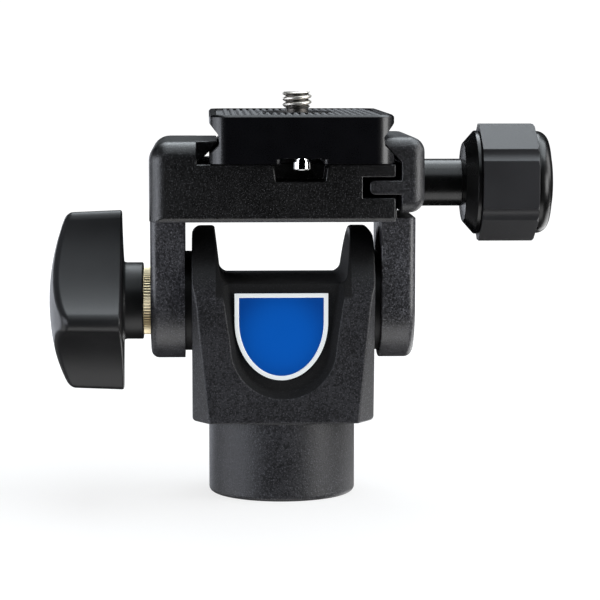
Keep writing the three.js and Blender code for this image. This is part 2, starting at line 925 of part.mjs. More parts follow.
// End cap: a flat crown, an elliptic shoulder and a spigot into the hub
function clampCap() {
  const start = gripEnd + clearance;
  const shoulderStart = capEnd - capCrown - capShoulder;
  const shoulder = quarterAngles(capShoulderSteps).map((angle) => [
    capRadius - capShoulder * (1 - Math.cos(angle)),
    shoulderStart + capShoulder * Math.sin(angle),
  ]);
  const spigotEnd = gripEnd - capSpigotLength + clearance;
  return turnedAlongX([
    [0, spigotEnd],
    [capSpigotRadius, spigotEnd],
    [capSpigotRadius, start],
    [capRadius, start],
    ...shoulder,
    [(capRadius - capShoulder) * crownShare, capEnd - capCrown * crownShare ** 2],
    [0, capEnd],
  ]);
}

// Tilt knob

const origin = new THREE.Vector2(0, 0);

// Convex tips and concave valleys that run into each other, as arcs tangent to arcs
function lobePoints() {
  const tipCentre = knobTipRadius - knobLobeRadius;
  const diagonal = Math.SQRT2 * tipCentre;
  const valleyRadius =
    (tipCentre ** 2 + knobValleyRadius ** 2 - diagonal * knobValleyRadius - knobLobeRadius ** 2) /
    (diagonal + 2 * knobLobeRadius - 2 * knobValleyRadius);
  const valleyCentre = knobValleyRadius + valleyRadius;
  const points = [];
  for (let lobe = 0; lobe < 4; lobe += 1) {
    const turn = (lobe * Math.PI) / 2;
    const tip = new THREE.Vector2(tipCentre, 0);
    const valley = new THREE.Vector2(valleyCentre, 0).rotateAround(origin, Math.PI / 4);
    const toValley = valley.clone().sub(tip).angle();
    for (let step = 0; step <= lobeTipSteps; step += 1) {
      const angle = toValley * ((2 * step) / lobeTipSteps - 1);
      points.push(pointAt(tip, knobLobeRadius, angle).rotateAround(origin, turn));
    }
    const half = toValley - Math.PI / 4;
    for (let step = 1; step < lobeValleySteps; step += 1) {
      const angle = Math.PI + Math.PI / 4 + half * (1 - (2 * step) / lobeValleySteps);
      points.push(pointAt(valley, valleyRadius, angle).rotateAround(origin, turn));
    }
  }
  return points;
}

function pointAt(centre, radius, angle) {
  return new THREE.Vector2(
    centre.x + radius * Math.cos(angle),
    centre.y + radius * Math.sin(angle),
  );
}

function domeHeight(radius) {
  return knobApex - knobDomeRadius + Math.sqrt(knobDomeRadius ** 2 - radius ** 2);
}

// Rings of points round the axis, closed by a point at each end
function lofted(rings, firstEnd, lastEnd) {
  const count = rings[0].length;
  const vertices = [firstEnd, ...rings.flat(), lastEnd];
  const last = vertices.length - 1;
  const faces = [];
  for (let i = 0; i < count; i += 1) {
    const next = (i + 1) % count;
    faces.push(0, 1 + next, 1 + i);
    for (let ring = 0; ring < rings.length - 1; ring += 1) {
      const a = 1 + ring * count;
      const b = a + count;
      faces.push(a + i, a + next, b + next, a + i, b + next, b + i);
    }
    const top = 1 + (rings.length - 1) * count;
    faces.push(top + i, top + next, last);
  }
  const geometry = new THREE.BufferGeometry();
  geometry.setAttribute(
    'position',
    new THREE.Float32BufferAttribute(vertices.flatMap((v) => v.toArray()), 3),
  );
  geometry.setIndex(faces);
  return geometry;
}

function ringOf(points, inset, heightAt) {
  return points.map((point) => {
    const radius = point.length() - inset;
    const placed = point.clone().setLength(radius);
    return new THREE.Vector3(placed.x, placed.y, heightAt(radius));
  });
}

function knobHead() {
  const points = lobePoints();
  const rimHeight = (inset) => (radius) => domeHeight(radius + inset);
  const sunk = knobRimEdge * (1 - Math.SQRT1_2);
  const rings = [
    ringOf(points, knobBackEdge, () => knobBack),
    ringOf(points, 0, () => knobBack + knobBackEdge),
    ringOf(points, knobDraft, (r) => rimHeight(knobDraft)(r) - knobRimEdge),
    ringOf(points, knobDraft + sunk, (r) => rimHeight(knobDraft)(r) - sunk),
    ringOf(points, knobDraft + knobRimEdge, domeHeight),
  ];
  const inner = rings[rings.length - 1];
  for (const share of domeShares) {
    rings.push(inner.map((v) => {
      const flat = new THREE.Vector2(v.x, v.y).multiplyScalar(share);
      return new THREE.Vector3(flat.x, flat.y, domeHeight(flat.length()));
    }));
  }
  return lofted(
    rings,
    new THREE.Vector3(0, 0, knobBack),
    new THREE.Vector3(0, 0, knobApex),
  );
}

// The knob is drawn along its own axis and then laid on the tilt axis, face to the left
function tiltKnob() {
  const neck = turned([
    [0, neckEnd],
    [neckRadius, neckEnd],
    [neckRadius, knobBack - neckFillet],
    [neckRadius + neckFillet * (1 - Math.SQRT1_2), knobBack - neckFillet * (1 - Math.SQRT1_2)],
    [neckRadius + neckFillet, knobBack],
    [neckRadius + neckFillet, knobBack + overrun],
    [0, knobBack + overrun],
  ]).rotateX(Math.PI / 2);
  const bore = turned(
    rodProfile(brassBodyRadius + clearance, neckEnd - overrun, brassBodyEnd + clearance),
    smallRoundSides,
  ).rotateX(Math.PI / 2);
  const frontDirection = -Math.PI / 2;
  const turn = frontDirection - THREE.MathUtils.degToRad(knobLobeTurn);
  return cut(join(knobHead(), neck), bore).rotateZ(turn).rotateY(-Math.PI / 2).rotateX(Math.PI / 2);
}

function knobInsert() {
  const face = earOuter - brassRecess + clearance;
  const collarEnd = neckEnd - glueGap;
  return turnedAlongX([
    [boltRadius + clearance, -brassBodyEnd],
    [brassBodyRadius, -brassBodyEnd],
    [brassBodyRadius, -collarEnd],
    [brassRadius, -collarEnd],
    [brassRadius, -face - brassEdge],
    [brassRadius - brassEdge, -face],
    [boltRadius + clearance, -face],
    [boltRadius + clearance, -brassBodyEnd],
  ]);
}

// Quick release plate

function plateProfile() {
  const half = [
    [plateHalfWidth - plateBottomEdge, plateBottom],
    [plateHalfWidth, plateBottom + plateBottomEdge],
    [plateHalfWidth, plateFlareTop],
    [plateNeckHalfWidth, plateNeckBottom],
    [plateNeckHalfWidth, plateNeckTop],
    [plateHalfWidth, plateUpperFlare],
    [plateHalfWidth, plateTop - plateTopEdge],
    [plateHalfWidth - plateTopEdge, plateTop],
  ];
  const other = half.map(([x, z]) => [-x, z]).reverse();
  return outline([...half, ...other]);
}

function plan(halfWidth, halfLength, radius) {
  return outline([
    [-halfWidth, -halfLength, radius],
    [halfWidth, -halfLength, radius],
    [halfWidth, halfLength, radius],
    [-halfWidth, halfLength, radius],
  ]);
}

function plateBody() {
  const bar = common(
    alongY(plateProfile(), -plateHalfLength, plateHalfLength),
    alongZ(
      plan(plateHalfWidth, plateHalfLength, plateCornerRadius),
      plateBottom - overrun,
      plateTop + overrun,
    ),
  );
  const long = plateHalfLength + overrun;
  const grooveTop = plateBottom + grooveDepth;
  const groove = block(
    -grooveHalfWidth,
    grooveHalfWidth,
    -long,
    long,
    plateBottom - overrun,
    grooveTop,
  );
  const headSeat = plateBottom + screwHeadLift + screwHeadHeight + clearance;
  const pinHoles = [-pinPlace, pinPlace].map((y) =>
    turnedAlongZ(
      rodProfile(pinStemRadius + clearance, plateBottom - overrun, pinStemEnd + clearance),
      pinSides,
    ).translate(0, y, 0));
  return cut(
    bar,
    groove,
    padPocketCutter(),
    turnedAlongZ(
      rodProfile(screwHeadRadius + clearance, plateBottom - overrun, headSeat),
    ),
    turnedAlongZ(
      rodProfile(screwRadius + clearance, plateBottom, plateTop + overrun),
      smallRoundSides,
    ),
    turnedAlongZ(
      rodProfile(clipRadius + clearance, plateTop - clipRecess, plateTop + overrun),
      smallRoundSides,
    ),
    ...pinHoles,
  );
}

// The pad fills a pocket that leaves an island of bare metal round the camera screw
function padOutline(inset) {
  const shape = plan(
    plateHalfWidth - padRim - inset,
    plateHalfLength - padRim - inset,
    plateCornerRadius - padRim,
  );
  const hole = plan(
    padHoleHalfWidth + inset,
    padHoleHalfLength + inset,
    padHoleHalfWidth,
  );
  shape.holes.push(hole);
  return shape;
}

function padPocketCutter() {
  return alongZ(padOutline(0), plateTop - padPocket, plateTop + overrun);
}

function rubberPad() {
  return alongZ(padOutline(clearance), plateTop - padPocket + glueGap, plateTop);
}

function stopPin() {
  const shoulder = plateBottom + grooveDepth - clearance;
  return turnedAlongZ([
    [0, pinBottom],
    [pinRadius - smallEdge, pinBottom],
    [pinRadius, pinBottom + smallEdge],
    [pinRadius, shoulder],
    [pinStemRadius, shoulder],
    [pinStemRadius, pinStemEnd],
    [0, pinStemEnd],
  ], pinSides);
}

function cameraScrew() {
  const headBottom = plateBottom + screwHeadLift;
  const headTop = headBottom + screwHeadHeight;
  const neckBottom = plateTop - clipRecess;
  const screw = turnedAlongZ([
    [0, headBottom],
    [screwHeadRadius - smallEdge, headBottom],
    [screwHeadRadius, headBottom + smallEdge],
    [screwHeadRadius, headTop],
    [screwRadius, headTop],
    [screwRadius, neckBottom],
    [screwNeckRadius, neckBottom],
    [screwNeckRadius, screwNeckTop],
    [screwRadius, screwNeckTop + screwRadius - screwNeckRadius],
    [screwRadius, screwTop - screwTipEdge],
    [screwRadius - screwTipEdge, screwTop],
    [0, screwTop],
  ], smallRoundSides);
  const reach = screwHeadRadius + overrun;
  const slot = block(
    -screwSlotHalfWidth,
    screwSlotHalfWidth,
    -reach,
    reach,
    headBottom - overrun,
    headBottom + screwSlotDepth,
  );
  return cut(screw, slot);
}

function screwClip() {
  const bottom = plateTop - clipRecess + clearance;
  return turnedAlongZ(
    tubeProfile(screwNeckRadius + clearance, clipRadius, bottom, bottom + clipThickness),
    smallRoundSides,
  );
}

// Materials, by colour and finish
function material(color, roughness, metalness) {
  return { color, roughness, metalness };
}

const castBlack = material(0x232427, 0.62, 0.25);
const castDark = material(0x303236, 0.6, 0.25);
const anodised = material(0x0b0d12, 0.4, 0.6);
const steel = material(0xb9b8b4, 0.28, 0.95);
const brass = material(0xc09a58, 0.34, 0.95);
const bronze = material(0x9a7442, 0.45, 0.9);
const nylon = material(0x17181a, 0.55, 0.0);
const knobPlastic = material(0x25292c, 0.5, 0.0);
const glossBlack = material(0x0c0c0f, 0.15, 0.3);
const rubber = material(0x2c3236, 0.75, 0.0);
const badgeBlue = material(0x0b4fa4, 0.35, 0.2);

function addPiece(group, name, geometry, look) {
  const piece = new THREE.Mesh(geometry, new THREE.MeshStandardMaterial(look));
  piece.name = name;
  group.add(piece);
  return piece;
}

function baseGroup() {
  const base = new THREE.Group();
  addPiece(base, 'base_body', baseBody(), castDark);
  addPiece(base, 'thread_insert', threadInsert(), steel);
  const badge = addPiece(base, 'badge_plate', badgePlate(), badgeBlue);
  badge.position.set(badgeOffset, recessDepth - forkHalfDepth - badgeThickness - glueGap, 0);
  const bushCentre = forkHalfWidth - washerRecess - bushLength / 2;
  for (const [name, side] of [['pivot_bush_left', -1], ['pivot_bush_right', 1]]) {
    const bush = addPiece(base, name, pivotBush(), bronze);
    bush.position.set(side * bushCentre, 0, pivotHeight);
  }
  return base;
}

function platformGroup() {
  const platform = new THREE.Group();
  addPiece(platform, 'platform_body', platformBody(), castBlack);
  addPiece(platform, 'pivot_bolt', pivotBolt(), steel).position.z = pivotHeight;
  const washerCentre = forkHalfWidth + earGap / 2;
  for (const [name, side] of [['friction_washer_left', -1], ['friction_washer_right', 1]]) {
    const washer = addPiece(platform, name, frictionWasher(), nylon);
    washer.position.set(side * washerCentre, 0, pivotHeight);
  }
  for (const [name, side] of [['jaw_spring_front', -1], ['jaw_spring_rear', 1]]) {
    const spring = addPiece(platform, name, jawSpring(), steel);
    spring.position.set(0, side * springSpacing, clampAxis);
  }
  return platform;
}

function clampGroup() {
  const clamp = new THREE.Group();
  addPiece(clamp, 'sliding_jaw', slidingJaw(), castBlack);
  const pieces = [
    ['jaw_washer', jawWasher(), nylon],
    ['clamp_screw', clampScrew(), steel],
    ['clamp_hub', clampHub(), glossBlack],
    ['hex_grip', hexGrip(), rubber],
    ['clamp_cap', clampCap(), glossBlack],
  ];
  for (const [name, geometry, look] of pieces) {
    addPiece(clamp, name, geometry, look).position.z = clampAxis;
  }
  return clamp;
}

function knobGroup() {
  const knob = new THREE.Group();
  knob.position.z = pivotHeight;
  addPiece(knob, 'tilt_knob', tiltKnob(), knobPlastic);
  addPiece(knob, 'knob_insert', knobInsert(), brass);
  return knob;
}

function plateGroup() {
  const plate = new THREE.Group();
  plate.position.x = plateCentre;
  addPiece(plate, 'release_plate', plateBody(), anodised);
  addPiece(plate, 'rubber_pad', rubberPad(), rubber);
  for (const [name, side] of [['stop_pin_front', -1], ['stop_pin_rear', 1]]) {
    addPiece(plate, name, stopPin(), steel).position.y = side * pinPlace;
  }
  addPiece(plate, 'screw_clip', screwClip(), steel);
  addPiece(plate, 'camera_screw', cameraScrew(), steel);
  return plate;
}

const group = new THREE.Group();
group.position.x = -headCentre;
group.add(baseGroup(), platformGroup(), clampGroup(), knobGroup(), plateGroup());

export default group;
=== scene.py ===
# %% [markdown]
# # A tilt head for a monopod
# The object is a small metal fork on a round foot. A platform swings between its two arms and
# carries a dovetail clamp with a plate for the camera. Each piece below is modelled as it would
# be by hand, with Blender's own modelling tools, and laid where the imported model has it.

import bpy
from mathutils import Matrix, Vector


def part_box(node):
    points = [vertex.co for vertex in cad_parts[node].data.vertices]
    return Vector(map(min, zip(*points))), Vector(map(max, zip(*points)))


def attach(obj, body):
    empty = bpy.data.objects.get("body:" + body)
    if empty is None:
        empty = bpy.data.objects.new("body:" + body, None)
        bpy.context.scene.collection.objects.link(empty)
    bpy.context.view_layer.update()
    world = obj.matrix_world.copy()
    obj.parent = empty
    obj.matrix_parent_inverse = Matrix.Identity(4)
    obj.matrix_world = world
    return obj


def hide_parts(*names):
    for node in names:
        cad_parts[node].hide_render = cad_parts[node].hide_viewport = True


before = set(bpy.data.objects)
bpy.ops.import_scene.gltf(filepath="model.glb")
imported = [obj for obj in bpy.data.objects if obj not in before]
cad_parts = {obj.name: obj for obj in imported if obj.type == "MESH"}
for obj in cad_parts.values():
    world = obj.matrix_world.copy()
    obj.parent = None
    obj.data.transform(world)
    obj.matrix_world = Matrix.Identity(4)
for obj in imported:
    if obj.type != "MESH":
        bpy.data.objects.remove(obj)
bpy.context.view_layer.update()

# %% [markdown]
# ## Units and the middle of the head
# Blender works in metres, and small metal parts are easier to think of in millimetres. All the
# drawings below are centred on the axis of the foot, so the foot's own place in the packed
# model tells how far each finished piece has to move.

# %% Units
import math

import bmesh
import bpy
from mathutils import Matrix, Vector

MM = 0.001
foot_low, foot_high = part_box("base_body")
FOOT_X = (foot_low[0] + foot_high[0]) / 2
TILT_AXIS = 42.1
CLAMP_AXIS = 67.9
PLATE_X = 3.4
BOLT_HOLE = 3.3
WASHER_SEAT = 11.2
print("the foot's axis lies at", round(FOOT_X / MM, 3), "mm")

# %% [markdown]
# ## Working in edit mode from code
# By hand one clicks on the faces or edges to work on. Here `pick` does the clicking: it goes
# into edit mode with nothing selected, and then selects each vertex, edge or face whose corners
# all pass a test on their place.

# %% Picking parts of a mesh
def only(piece):
    """Leaves edit mode and selects one piece alone."""
    if bpy.context.mode != "OBJECT":
        bpy.ops.object.mode_set(mode="OBJECT")
    bpy.ops.object.select_all(action="DESELECT")
    piece.select_set(True)
    bpy.context.view_layer.objects.active = piece


def pick(piece, kind, test=lambda x, y, z: True):
    """Opens a piece with only the parts selected that pass."""
    only(piece)
    bpy.ops.object.mode_set(mode="EDIT")
    bpy.ops.mesh.select_mode(type=kind)
    bpy.ops.mesh.select_all(action="DESELECT")
    mesh = bmesh.from_edit_mesh(piece.data)
    mesh.normal_update()
    parts = {"VERT": mesh.verts, "EDGE": mesh.edges, "FACE": mesh.faces}[kind]
    for part in parts:
        corners = [part] if kind == "VERT" else part.verts
        if all(test(*(corner.co / MM)) for corner in corners):
            part.select_set(True)
    mesh.select_flush_mode()
    bmesh.update_edit_mesh(piece.data)


def near(value, target):
    return abs(value - target) < 0.02


def at(x=None, y=None, z=None):
    """A test for the parts that lie at the given coordinates, in mm."""
    return lambda *spot: all(
        target is None or near(value, target) for value, target in zip(spot, (x, y, z))
    )


def moved(piece, x=0.0, y=0.0, z=0.0):
    """Moves a piece by some mm, and applies its place, turn and size to its mesh."""
    only(piece)
    bpy.ops.transform.translate(value=(x * MM, y * MM, z * MM))
    bpy.ops.object.transform_apply()
    return piece


def called(name):
    """Names the piece that was just made."""
    piece = bpy.context.object
    piece.name = piece.data.name = name
    return piece


def pulled(move):
    """Extrudes what is selected."""
    bpy.ops.mesh.extrude_region_move(TRANSFORM_OT_translate={"value": move})


def rounded(piece, width, steps, test):
    """Bevels the edges that pass a test."""
    pick(piece, "EDGE", test)
    bpy.ops.mesh.bevel(offset=width * MM, segments=steps, affect="EDGES")


def modified(piece, kind, **settings):
    """Adds a modifier, sets it and applies it."""
    only(piece)
    modifier = piece.modifiers.new(kind, kind)
    for key, value in settings.items():
        setattr(modifier, key, value)
    bpy.ops.object.modifier_apply(modifier=modifier.name)


def clean(piece, flat=0.3):
    """Merges doubled vertices, takes out lines across flat faces and turns all faces outwards."""
    pick(piece, "VERT")
    bpy.ops.mesh.remove_doubles(threshold=0.002 * MM)
    if flat:
        bpy.ops.mesh.dissolve_limited(angle_limit=math.radians(flat))
    bpy.ops.mesh.select_all(action="SELECT")
    bpy.ops.mesh.normals_make_consistent(inside=False)
    only(piece)
    return piece


# %% [markdown]
# ## Drawing an outline
# Most parts of the head start as an outline seen from the front, the side or above. One vertex
# is extruded from point to point, as by hand, and a corner with a radius is then rounded with
# the vertex bevel. A filled outline is pulled out to a prism, and an open one is spun round an
# axis to a turned part.

# %% Outlines, prisms and turned parts
VIEWS = {
    "front": lambda a, b, depth: (a, depth, b),
    "side": lambda a, b, depth: (depth, a, b),
    "plan": lambda a, b, depth: (a, b, depth),
}


def arc(x, y, radius, start, end, steps, other_radius=None):
    """Points on a part of a circle, or of an ellipse, between two angles in degrees."""
    tall = other_radius or radius
    angles = [math.radians(start + (end - start) * step / steps) for step in range(steps + 1)]
    return [(x + radius * math.cos(angle), y + tall * math.sin(angle)) for angle in angles]


def drawn(name, points, view="front", depth=0, closed=True, steps=6):
    """A line through points of [a, b] or [a, b, corner radius], in mm."""
    spots = [Vector(VIEWS[view](point[0], point[1], depth)) * MM for point in points]
    bpy.ops.mesh.primitive_plane_add(size=MM, location=(0, 0, 0))
    piece = called(name)
    pick(piece, "VERT")
    bpy.ops.mesh.merge(type="CENTER")
    bpy.ops.transform.translate(value=spots[0])
    for here, there in zip(spots, spots[1:]):
        pulled(there - here)

    def beside(spot):
        return lambda x, y, z: (Vector((x, y, z)) * MM - spot).length < 0.0005 * MM

    if closed:
        first, last = beside(spots[0]), beside(spots[-1])
        pick(piece, "VERT", lambda x, y, z: first(x, y, z) or last(x, y, z))
        bpy.ops.mesh.edge_face_add()
    for i, point in enumerate(points):
        if len(point) < 3:
            continue
        before, after = spots[i - 1] - spots[i], spots[(i + 1) % len(spots)] - spots[i]
        reach = point[2] * MM / math.tan(before.angle(after) / 2)
        pick(piece, "VERT", beside(spots[i]))
        bpy.ops.mesh.bevel(offset=reach, segments=steps, affect="VERTICES")
    pick(piece, "VERT")
    bpy.ops.mesh.remove_doubles(threshold=0.001 * MM)
    if closed:
        bpy.ops.mesh.edge_face_add()
    only(piece)
    return piece


def prism(name, points, view, start, end, steps=6):
    """A filled outline pulled from one depth to another."""
    piece = drawn(name, points, view, start, steps=steps)
    pick(piece, "FACE")
    pulled(Vector(VIEWS[view](0, 0, end - start)) * MM)
    return clean(piece, flat=None)


def turned(name, points, axis="z", centre=(0, 0, 0), sides=96, closed=False):
    """Points of [radius, place along the axis, corner radius] spun round an axis."""
    flip = axis == "x"
    line = [(p[1], p[0], *p[2:]) if flip else p for p in points]
    piece = drawn(name, line, closed=False, steps=4)
    if closed:
        ends = [Vector((p[0], 0, p[1])) for p in (line[0], line[-1])]
        pick(piece, "VERT", lambda *spot: min((Vector(spot) - end).length for end in ends) < 0.001)
        bpy.ops.mesh.edge_face_add()
    pick(piece, "VERT")
    turn_axis = (1, 0, 0) if flip else (0, 0, 1)
    bpy.ops.mesh.spin(steps=sides, angle=2 * math.pi, center=(0, 0, 0), axis=turn_axis)
    clean(piece, flat=None)
    pick(piece, "VERT")
    bpy.ops.mesh.delete_loose()
    clean(piece, flat=None)
    return moved(piece, *centre)


# %% [markdown]
# ## Cutting, joining and rounding
# Machinists drill and mill, and in Blender a boolean modifier does the same with another mesh
# as the tool. Bisect slices straight through a piece and closes the cut. No edge of a cast or
# machined part is perfectly sharp, so a bevel modifier rounds them: that is where the light
# catches, and it does more for a convincing metal part than any texture.

# %% Booleans, slices and soft edges
def combined(piece, tool, operation):
    modified(piece, "BOOLEAN", operation=operation, solver="EXACT", object=tool)
    bpy.data.objects.remove(tool)
    return clean(piece)


def cut(piece, *tools):
    for tool in tools:
        combined(piece, tool, "DIFFERENCE")
    return piece


def joined(piece, *others):
    for other in others:
        combined(piece, other, "UNION")
    return piece


def common(piece, other):
    return combined(piece, other, "INTERSECT")


def sliced(piece, point, normal):
    """Cuts off what lies beyond a plane, and closes the cut."""
    pick(piece, "FACE")
    bpy.ops.mesh.bisect(
        plane_co=Vector(point) * MM, plane_no=normal, use_fill=True, clear_outer=True
    )
    return clean(piece)


def block(name, low, high):
    """A block between two corners."""
    middle = [(a + b) / 2 * MM for a, b in zip(low, high)]
    bpy.ops.mesh.primitive_cube_add(size=MM, location=middle)
    piece = called(name)
    piece.scale = [b - a for a, b in zip(low, high)]
    return moved(piece)


def rod(name, radius, start, end, axis="x", centre=(0, 0, 0), sides=64):
    """A round bar between two places on the x or the z axis."""
    middle = Vector(centre)
    middle["xyz".index(axis)] += (start + end) / 2
    bpy.ops.mesh.primitive_cylinder_add(
        vertices=sides, radius=radius * MM, depth=(end - start) * MM, location=middle * MM,
        rotation=(0, math.pi / 2 if axis == "x" else 0, 0),
    )
    return moved(called(name))


def copied(piece, name, move=(0, 0, 0), turn=0.0):
    """A copy with its own mesh, turned about the foot's axis and then moved."""
    only(piece)
    bpy.ops.object.duplicate(linked=False)
    copy = called(name)
    copy.rotation_euler.z = math.radians(turn)
    return moved(copy, *move)


def softened(piece, width, steps=3, angle=28, clamp=False):
    """Rounds every edge that turns by more than an angle."""
    modified(
        piece, "BEVEL", limit_method="ANGLE", angle_limit=math.radians(angle),
        width=width * MM, segments=steps, use_clamp_overlap=clamp,
    )
    return clean(piece, flat=None)


# %% [markdown]
# ## Finishing a piece
# A finished piece is moved from the foot's axis to its place in the imported model, shaded smooth
# where its faces turn little, told which body it moves with and given its material, and the
# imported solid it stands for is hidden. Weighted normals keep the large flats flat beside the
# small rounded edges.

# %% Handing a piece to the model
def settled(piece, solid, body, look, angle=32):
    moved(piece, FOOT_X / MM)
    bpy.ops.object.shade_smooth_by_angle(angle=math.radians(angle))
    modified(piece, "WEIGHTED_NORMAL", keep_sharp=True)
    piece.data.materials.clear()
    piece.data.materials.append(look)
    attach(piece, body)
    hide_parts(solid)
    mesh = bmesh.new()
    mesh.from_mesh(piece.data)
    open_edges = sum(not edge.is_manifold for edge in mesh.edges)
    size = [round(side / MM, 2) for side in piece.dimensions]
    print(f"{piece.name}: {len(mesh.faces)} faces, {open_edges} open edges, {size} mm")
    mesh.free()
    return piece


# %% [markdown]
# ## Shader maths
# A material's pattern is arithmetic on noise and coordinates. Instead of linking Math nodes one
# by one, the class below wraps a socket, so that `1 - mask * 0.3` adds the nodes by itself. Its
# one other method adds any node at all, from its type, settings and inputs.

# %% A socket that can be added and multiplied
class Signal:
    def __init__(self, tree, socket=None):
        self.tree = tree
        self.socket = socket

    def node(self, kind, settings=None, inputs=None, out=0):
        made = self.tree.nodes.new("ShaderNode" + kind)
        for key, value in (settings or {}).items():
            setattr(made, key, value)
        for key, value in (inputs or {}).items():
            if isinstance(value, Signal):
                self.tree.links.new(value.socket, made.inputs[key])
            else:
                made.inputs[key].default_value = value
        return Signal(self.tree, made.outputs[out])

    def math(self, operation, first, second):
        return self.node("Math", {"operation": operation}, {0: first, 1: second})

    def __add__(self, other):
        return self.math("ADD", self, other)

    def __sub__(self, other):
        return self.math("SUBTRACT", self, other)

    def __rsub__(self, other):
        return self.math("SUBTRACT", other, self)

    def __mul__(self, other):
        return self.math("MULTIPLY", self, other)

    __radd__ = __add__
    __rmul__ = __mul__


# %% Parts that most finishes share
def new_look(name, **fixed):
    """An empty material: its shader with the fixed values, and the piece's own coordinates,
    counted from the foot's axis like the drawings."""
    look = bpy.data.materials.new(name)
    look.use_nodes = True
    tree = look.node_tree
    shader = tree.nodes["Principled BSDF"]
    for key, value in fixed.items():
        shader.inputs[key.replace("_", " ")].default_value = value
    place = Signal(tree).node("TexCoord", out="Object")
    place = place.node("VectorMath", {"operation": "SUBTRACT"}, {0: place, 1: (FOOT_X, 0, 0)})
    return look, shader, place


def grain(place, size, detail=2, stretch=(1, 1, 1)):
    """Noise with spots of about a size in mm."""
    spread = place.node("Mapping", {}, {"Vector": place, "Scale": stretch})
    return place.node(
        "TexNoise", {}, {"Vector": spread, "Scale": 1 / (size * MM), "Detail": detail}
    )


def stepped(signal, low, high):
    """0 below a value, 1 above another, and smooth between them."""
    return signal.node(
        "MapRange", {"interpolation_type": "SMOOTHSTEP"},
        {"Value": signal, "From Min": low, "From Max": high},
    )


def blended(mask, dark, light):
    """A colour between two, by a mask."""
    return mask.node(
        "Mix", {"data_type": "RGBA"}, {"Factor": mask, 6: dark, 7: light}, out=2
    )


def along(place, axis):
    """One coordinate, in metres."""
    return place.node("SeparateXYZ", {}, {"Vector": place}, out=axis)


def fed(shader, **links):
    """Links signals to the shader's sockets."""
    for key, signal in links.items():
        signal.tree.links.new(signal.socket, shader.inputs[key.replace("_", " ")])


def bumped(shader, height, depth, strength=1.0):
    """Raises the surface by a signal, to a depth in mm."""
    fed(shader, Normal=height.node(
        "Bump", {}, {"Height": height, "Distance": depth * MM, "Strength": strength}
    ))


def grey(value, blue=1.0):
    """A grey between 0 and 1, a little bluer with a factor above 1."""
    return (value, value, value * blue, 1)


# %% [markdown]
# ## The black cast aluminium
# Fork, platform and jaw are castings with a black powder coat. Such a coat isn't smooth: it has
# the fine dimples of orange peel and a sprinkle of lighter specks, and it is a little rougher
# in some places than in others. On the fork, painted shade darkens the coat in the recess behind
# the badge, on the saddle and towards the arms' tops, where the platform shades them. The coat is
# also darker on the platform than on its ears. So each casting gets a mask that sets its tone.

# %% Powder coat
def powder_coat(name, dark, light, spark, rough, gloss, tone_and_shade_mask, hidden):
    """Black specked paint: a darker and a lighter tone set by a mask that paints shade on the
    fork, specks, and masks of its places.
    """
    look, shader, place = new_look(name, Specular_IOR_Level=gloss)
    cloud = grain(place, 9)
    peel = grain(place, 0.45, detail=3)
    speck = stepped(grain(place, 0.3, detail=1), 0.56, 0.7)
    # Where the mask is low the coat is darker: painted shade on the fork, a darker platform on the
    # head.
    tone_and_shade = tone_and_shade_mask(place)
    tone = blended(tone_and_shade, grey(dark, COAT_BLUE), grey(light, COAT_BLUE))
    low_spot = stepped(peel + (cloud - 0.5) * 0.3, 0.36, 0.62)
    colour = blended(low_spot * 0.7 + 0.3, (0, 0, 0, 1), tone)
    sparks = blended(tone_and_shade, grey(spark, COAT_BLUE), grey(light * 2.6, COAT_BLUE))
    fed(shader, Base_Color=blended(speck * 0.8, colour, sparks))
    fed(shader, Roughness=rough + (cloud - 0.5) * 0.12 + (peel - 0.5) * 0.3 + hidden(place) * 0.4)
    bumped(shader, peel + speck * 0.5, 0.05, 0.7)
    return look


def in_recess(place):
    """1 within the outline of the recess and on the saddle's top, 0 elsewhere."""
    across, depth = along(place, "X"), along(place, "Y")
    narrow = 1 - stepped(across * across, (14.4 * MM) ** 2, (14.6 * MM) ** 2)
    sunk = 1 - stepped(depth * depth, (16.3 * MM) ** 2, (16.45 * MM) ** 2)
    return narrow * sunk * stepped(along(place, "Z"), 19 * MM, 20 * MM)


def fork_painted_shade(place):
    """Painted shade: 1 where lit, 0 in the recess, on the saddle and towards the arms' tops."""
    low = 1 - stepped(along(place, "Z"), 44 * MM, 52 * MM)
    return (1 - in_recess(place)) * low


def ear_tone(place):
    """1 on the ears, 0 on the platform above them."""
    return 1 - stepped(along(place, "Z"), 60.7 * MM, 61.1 * MM)


def nowhere(place):
    """0 all over, for a coat without such a place."""
    return place.node("Value")


def middle_tone(place):
    return nowhere(place) + 0.55


COAT_BLUE = 1.12
base_coat = powder_coat(
    # The fork's mask paints shade into its coat.
    "powder coat of the fork", 0.004, 0.036, 0.012, 0.46, 0.5, fork_painted_shade, in_recess
)
jaw_coat = powder_coat(
    "powder coat of the jaw", 0.003, 0.04, 0.04, 0.42, 0.8, middle_tone, nowhere
)
head_coat = powder_coat(
    "powder coat of the platform", 0.003, 0.063, 0.045, 0.4, 0.85, ear_tone, nowhere
)


# %% [markdown]
# ## Plastic and rubber
# The tilt knob is moulded plastic with a satin skin from a lightly spark-eroded mould. The grip
# and the pad under the camera are rubber, duller and a little lighter. The hub and the cap of the
# clamp knob are plastic too, but polished.

# %% Moulded skins
def moulded(name, dark, light, rough, spots=0.25, depth=0.012, blue=1.05, **fixed):
    look, shader, place = new_look(name, **fixed)
    cloud = grain(place, 12)
    skin = grain(place, spots)
    fed(shader, Base_Color=blended(stepped(cloud, 0.3, 0.7), grey(dark, blue), grey(light, blue)))
    fed(shader, Roughness=rough + (cloud - 0.5) * 0.08 + (skin - 0.5) * 0.12)
    bumped(shader, skin, depth, 0.7)
    return look


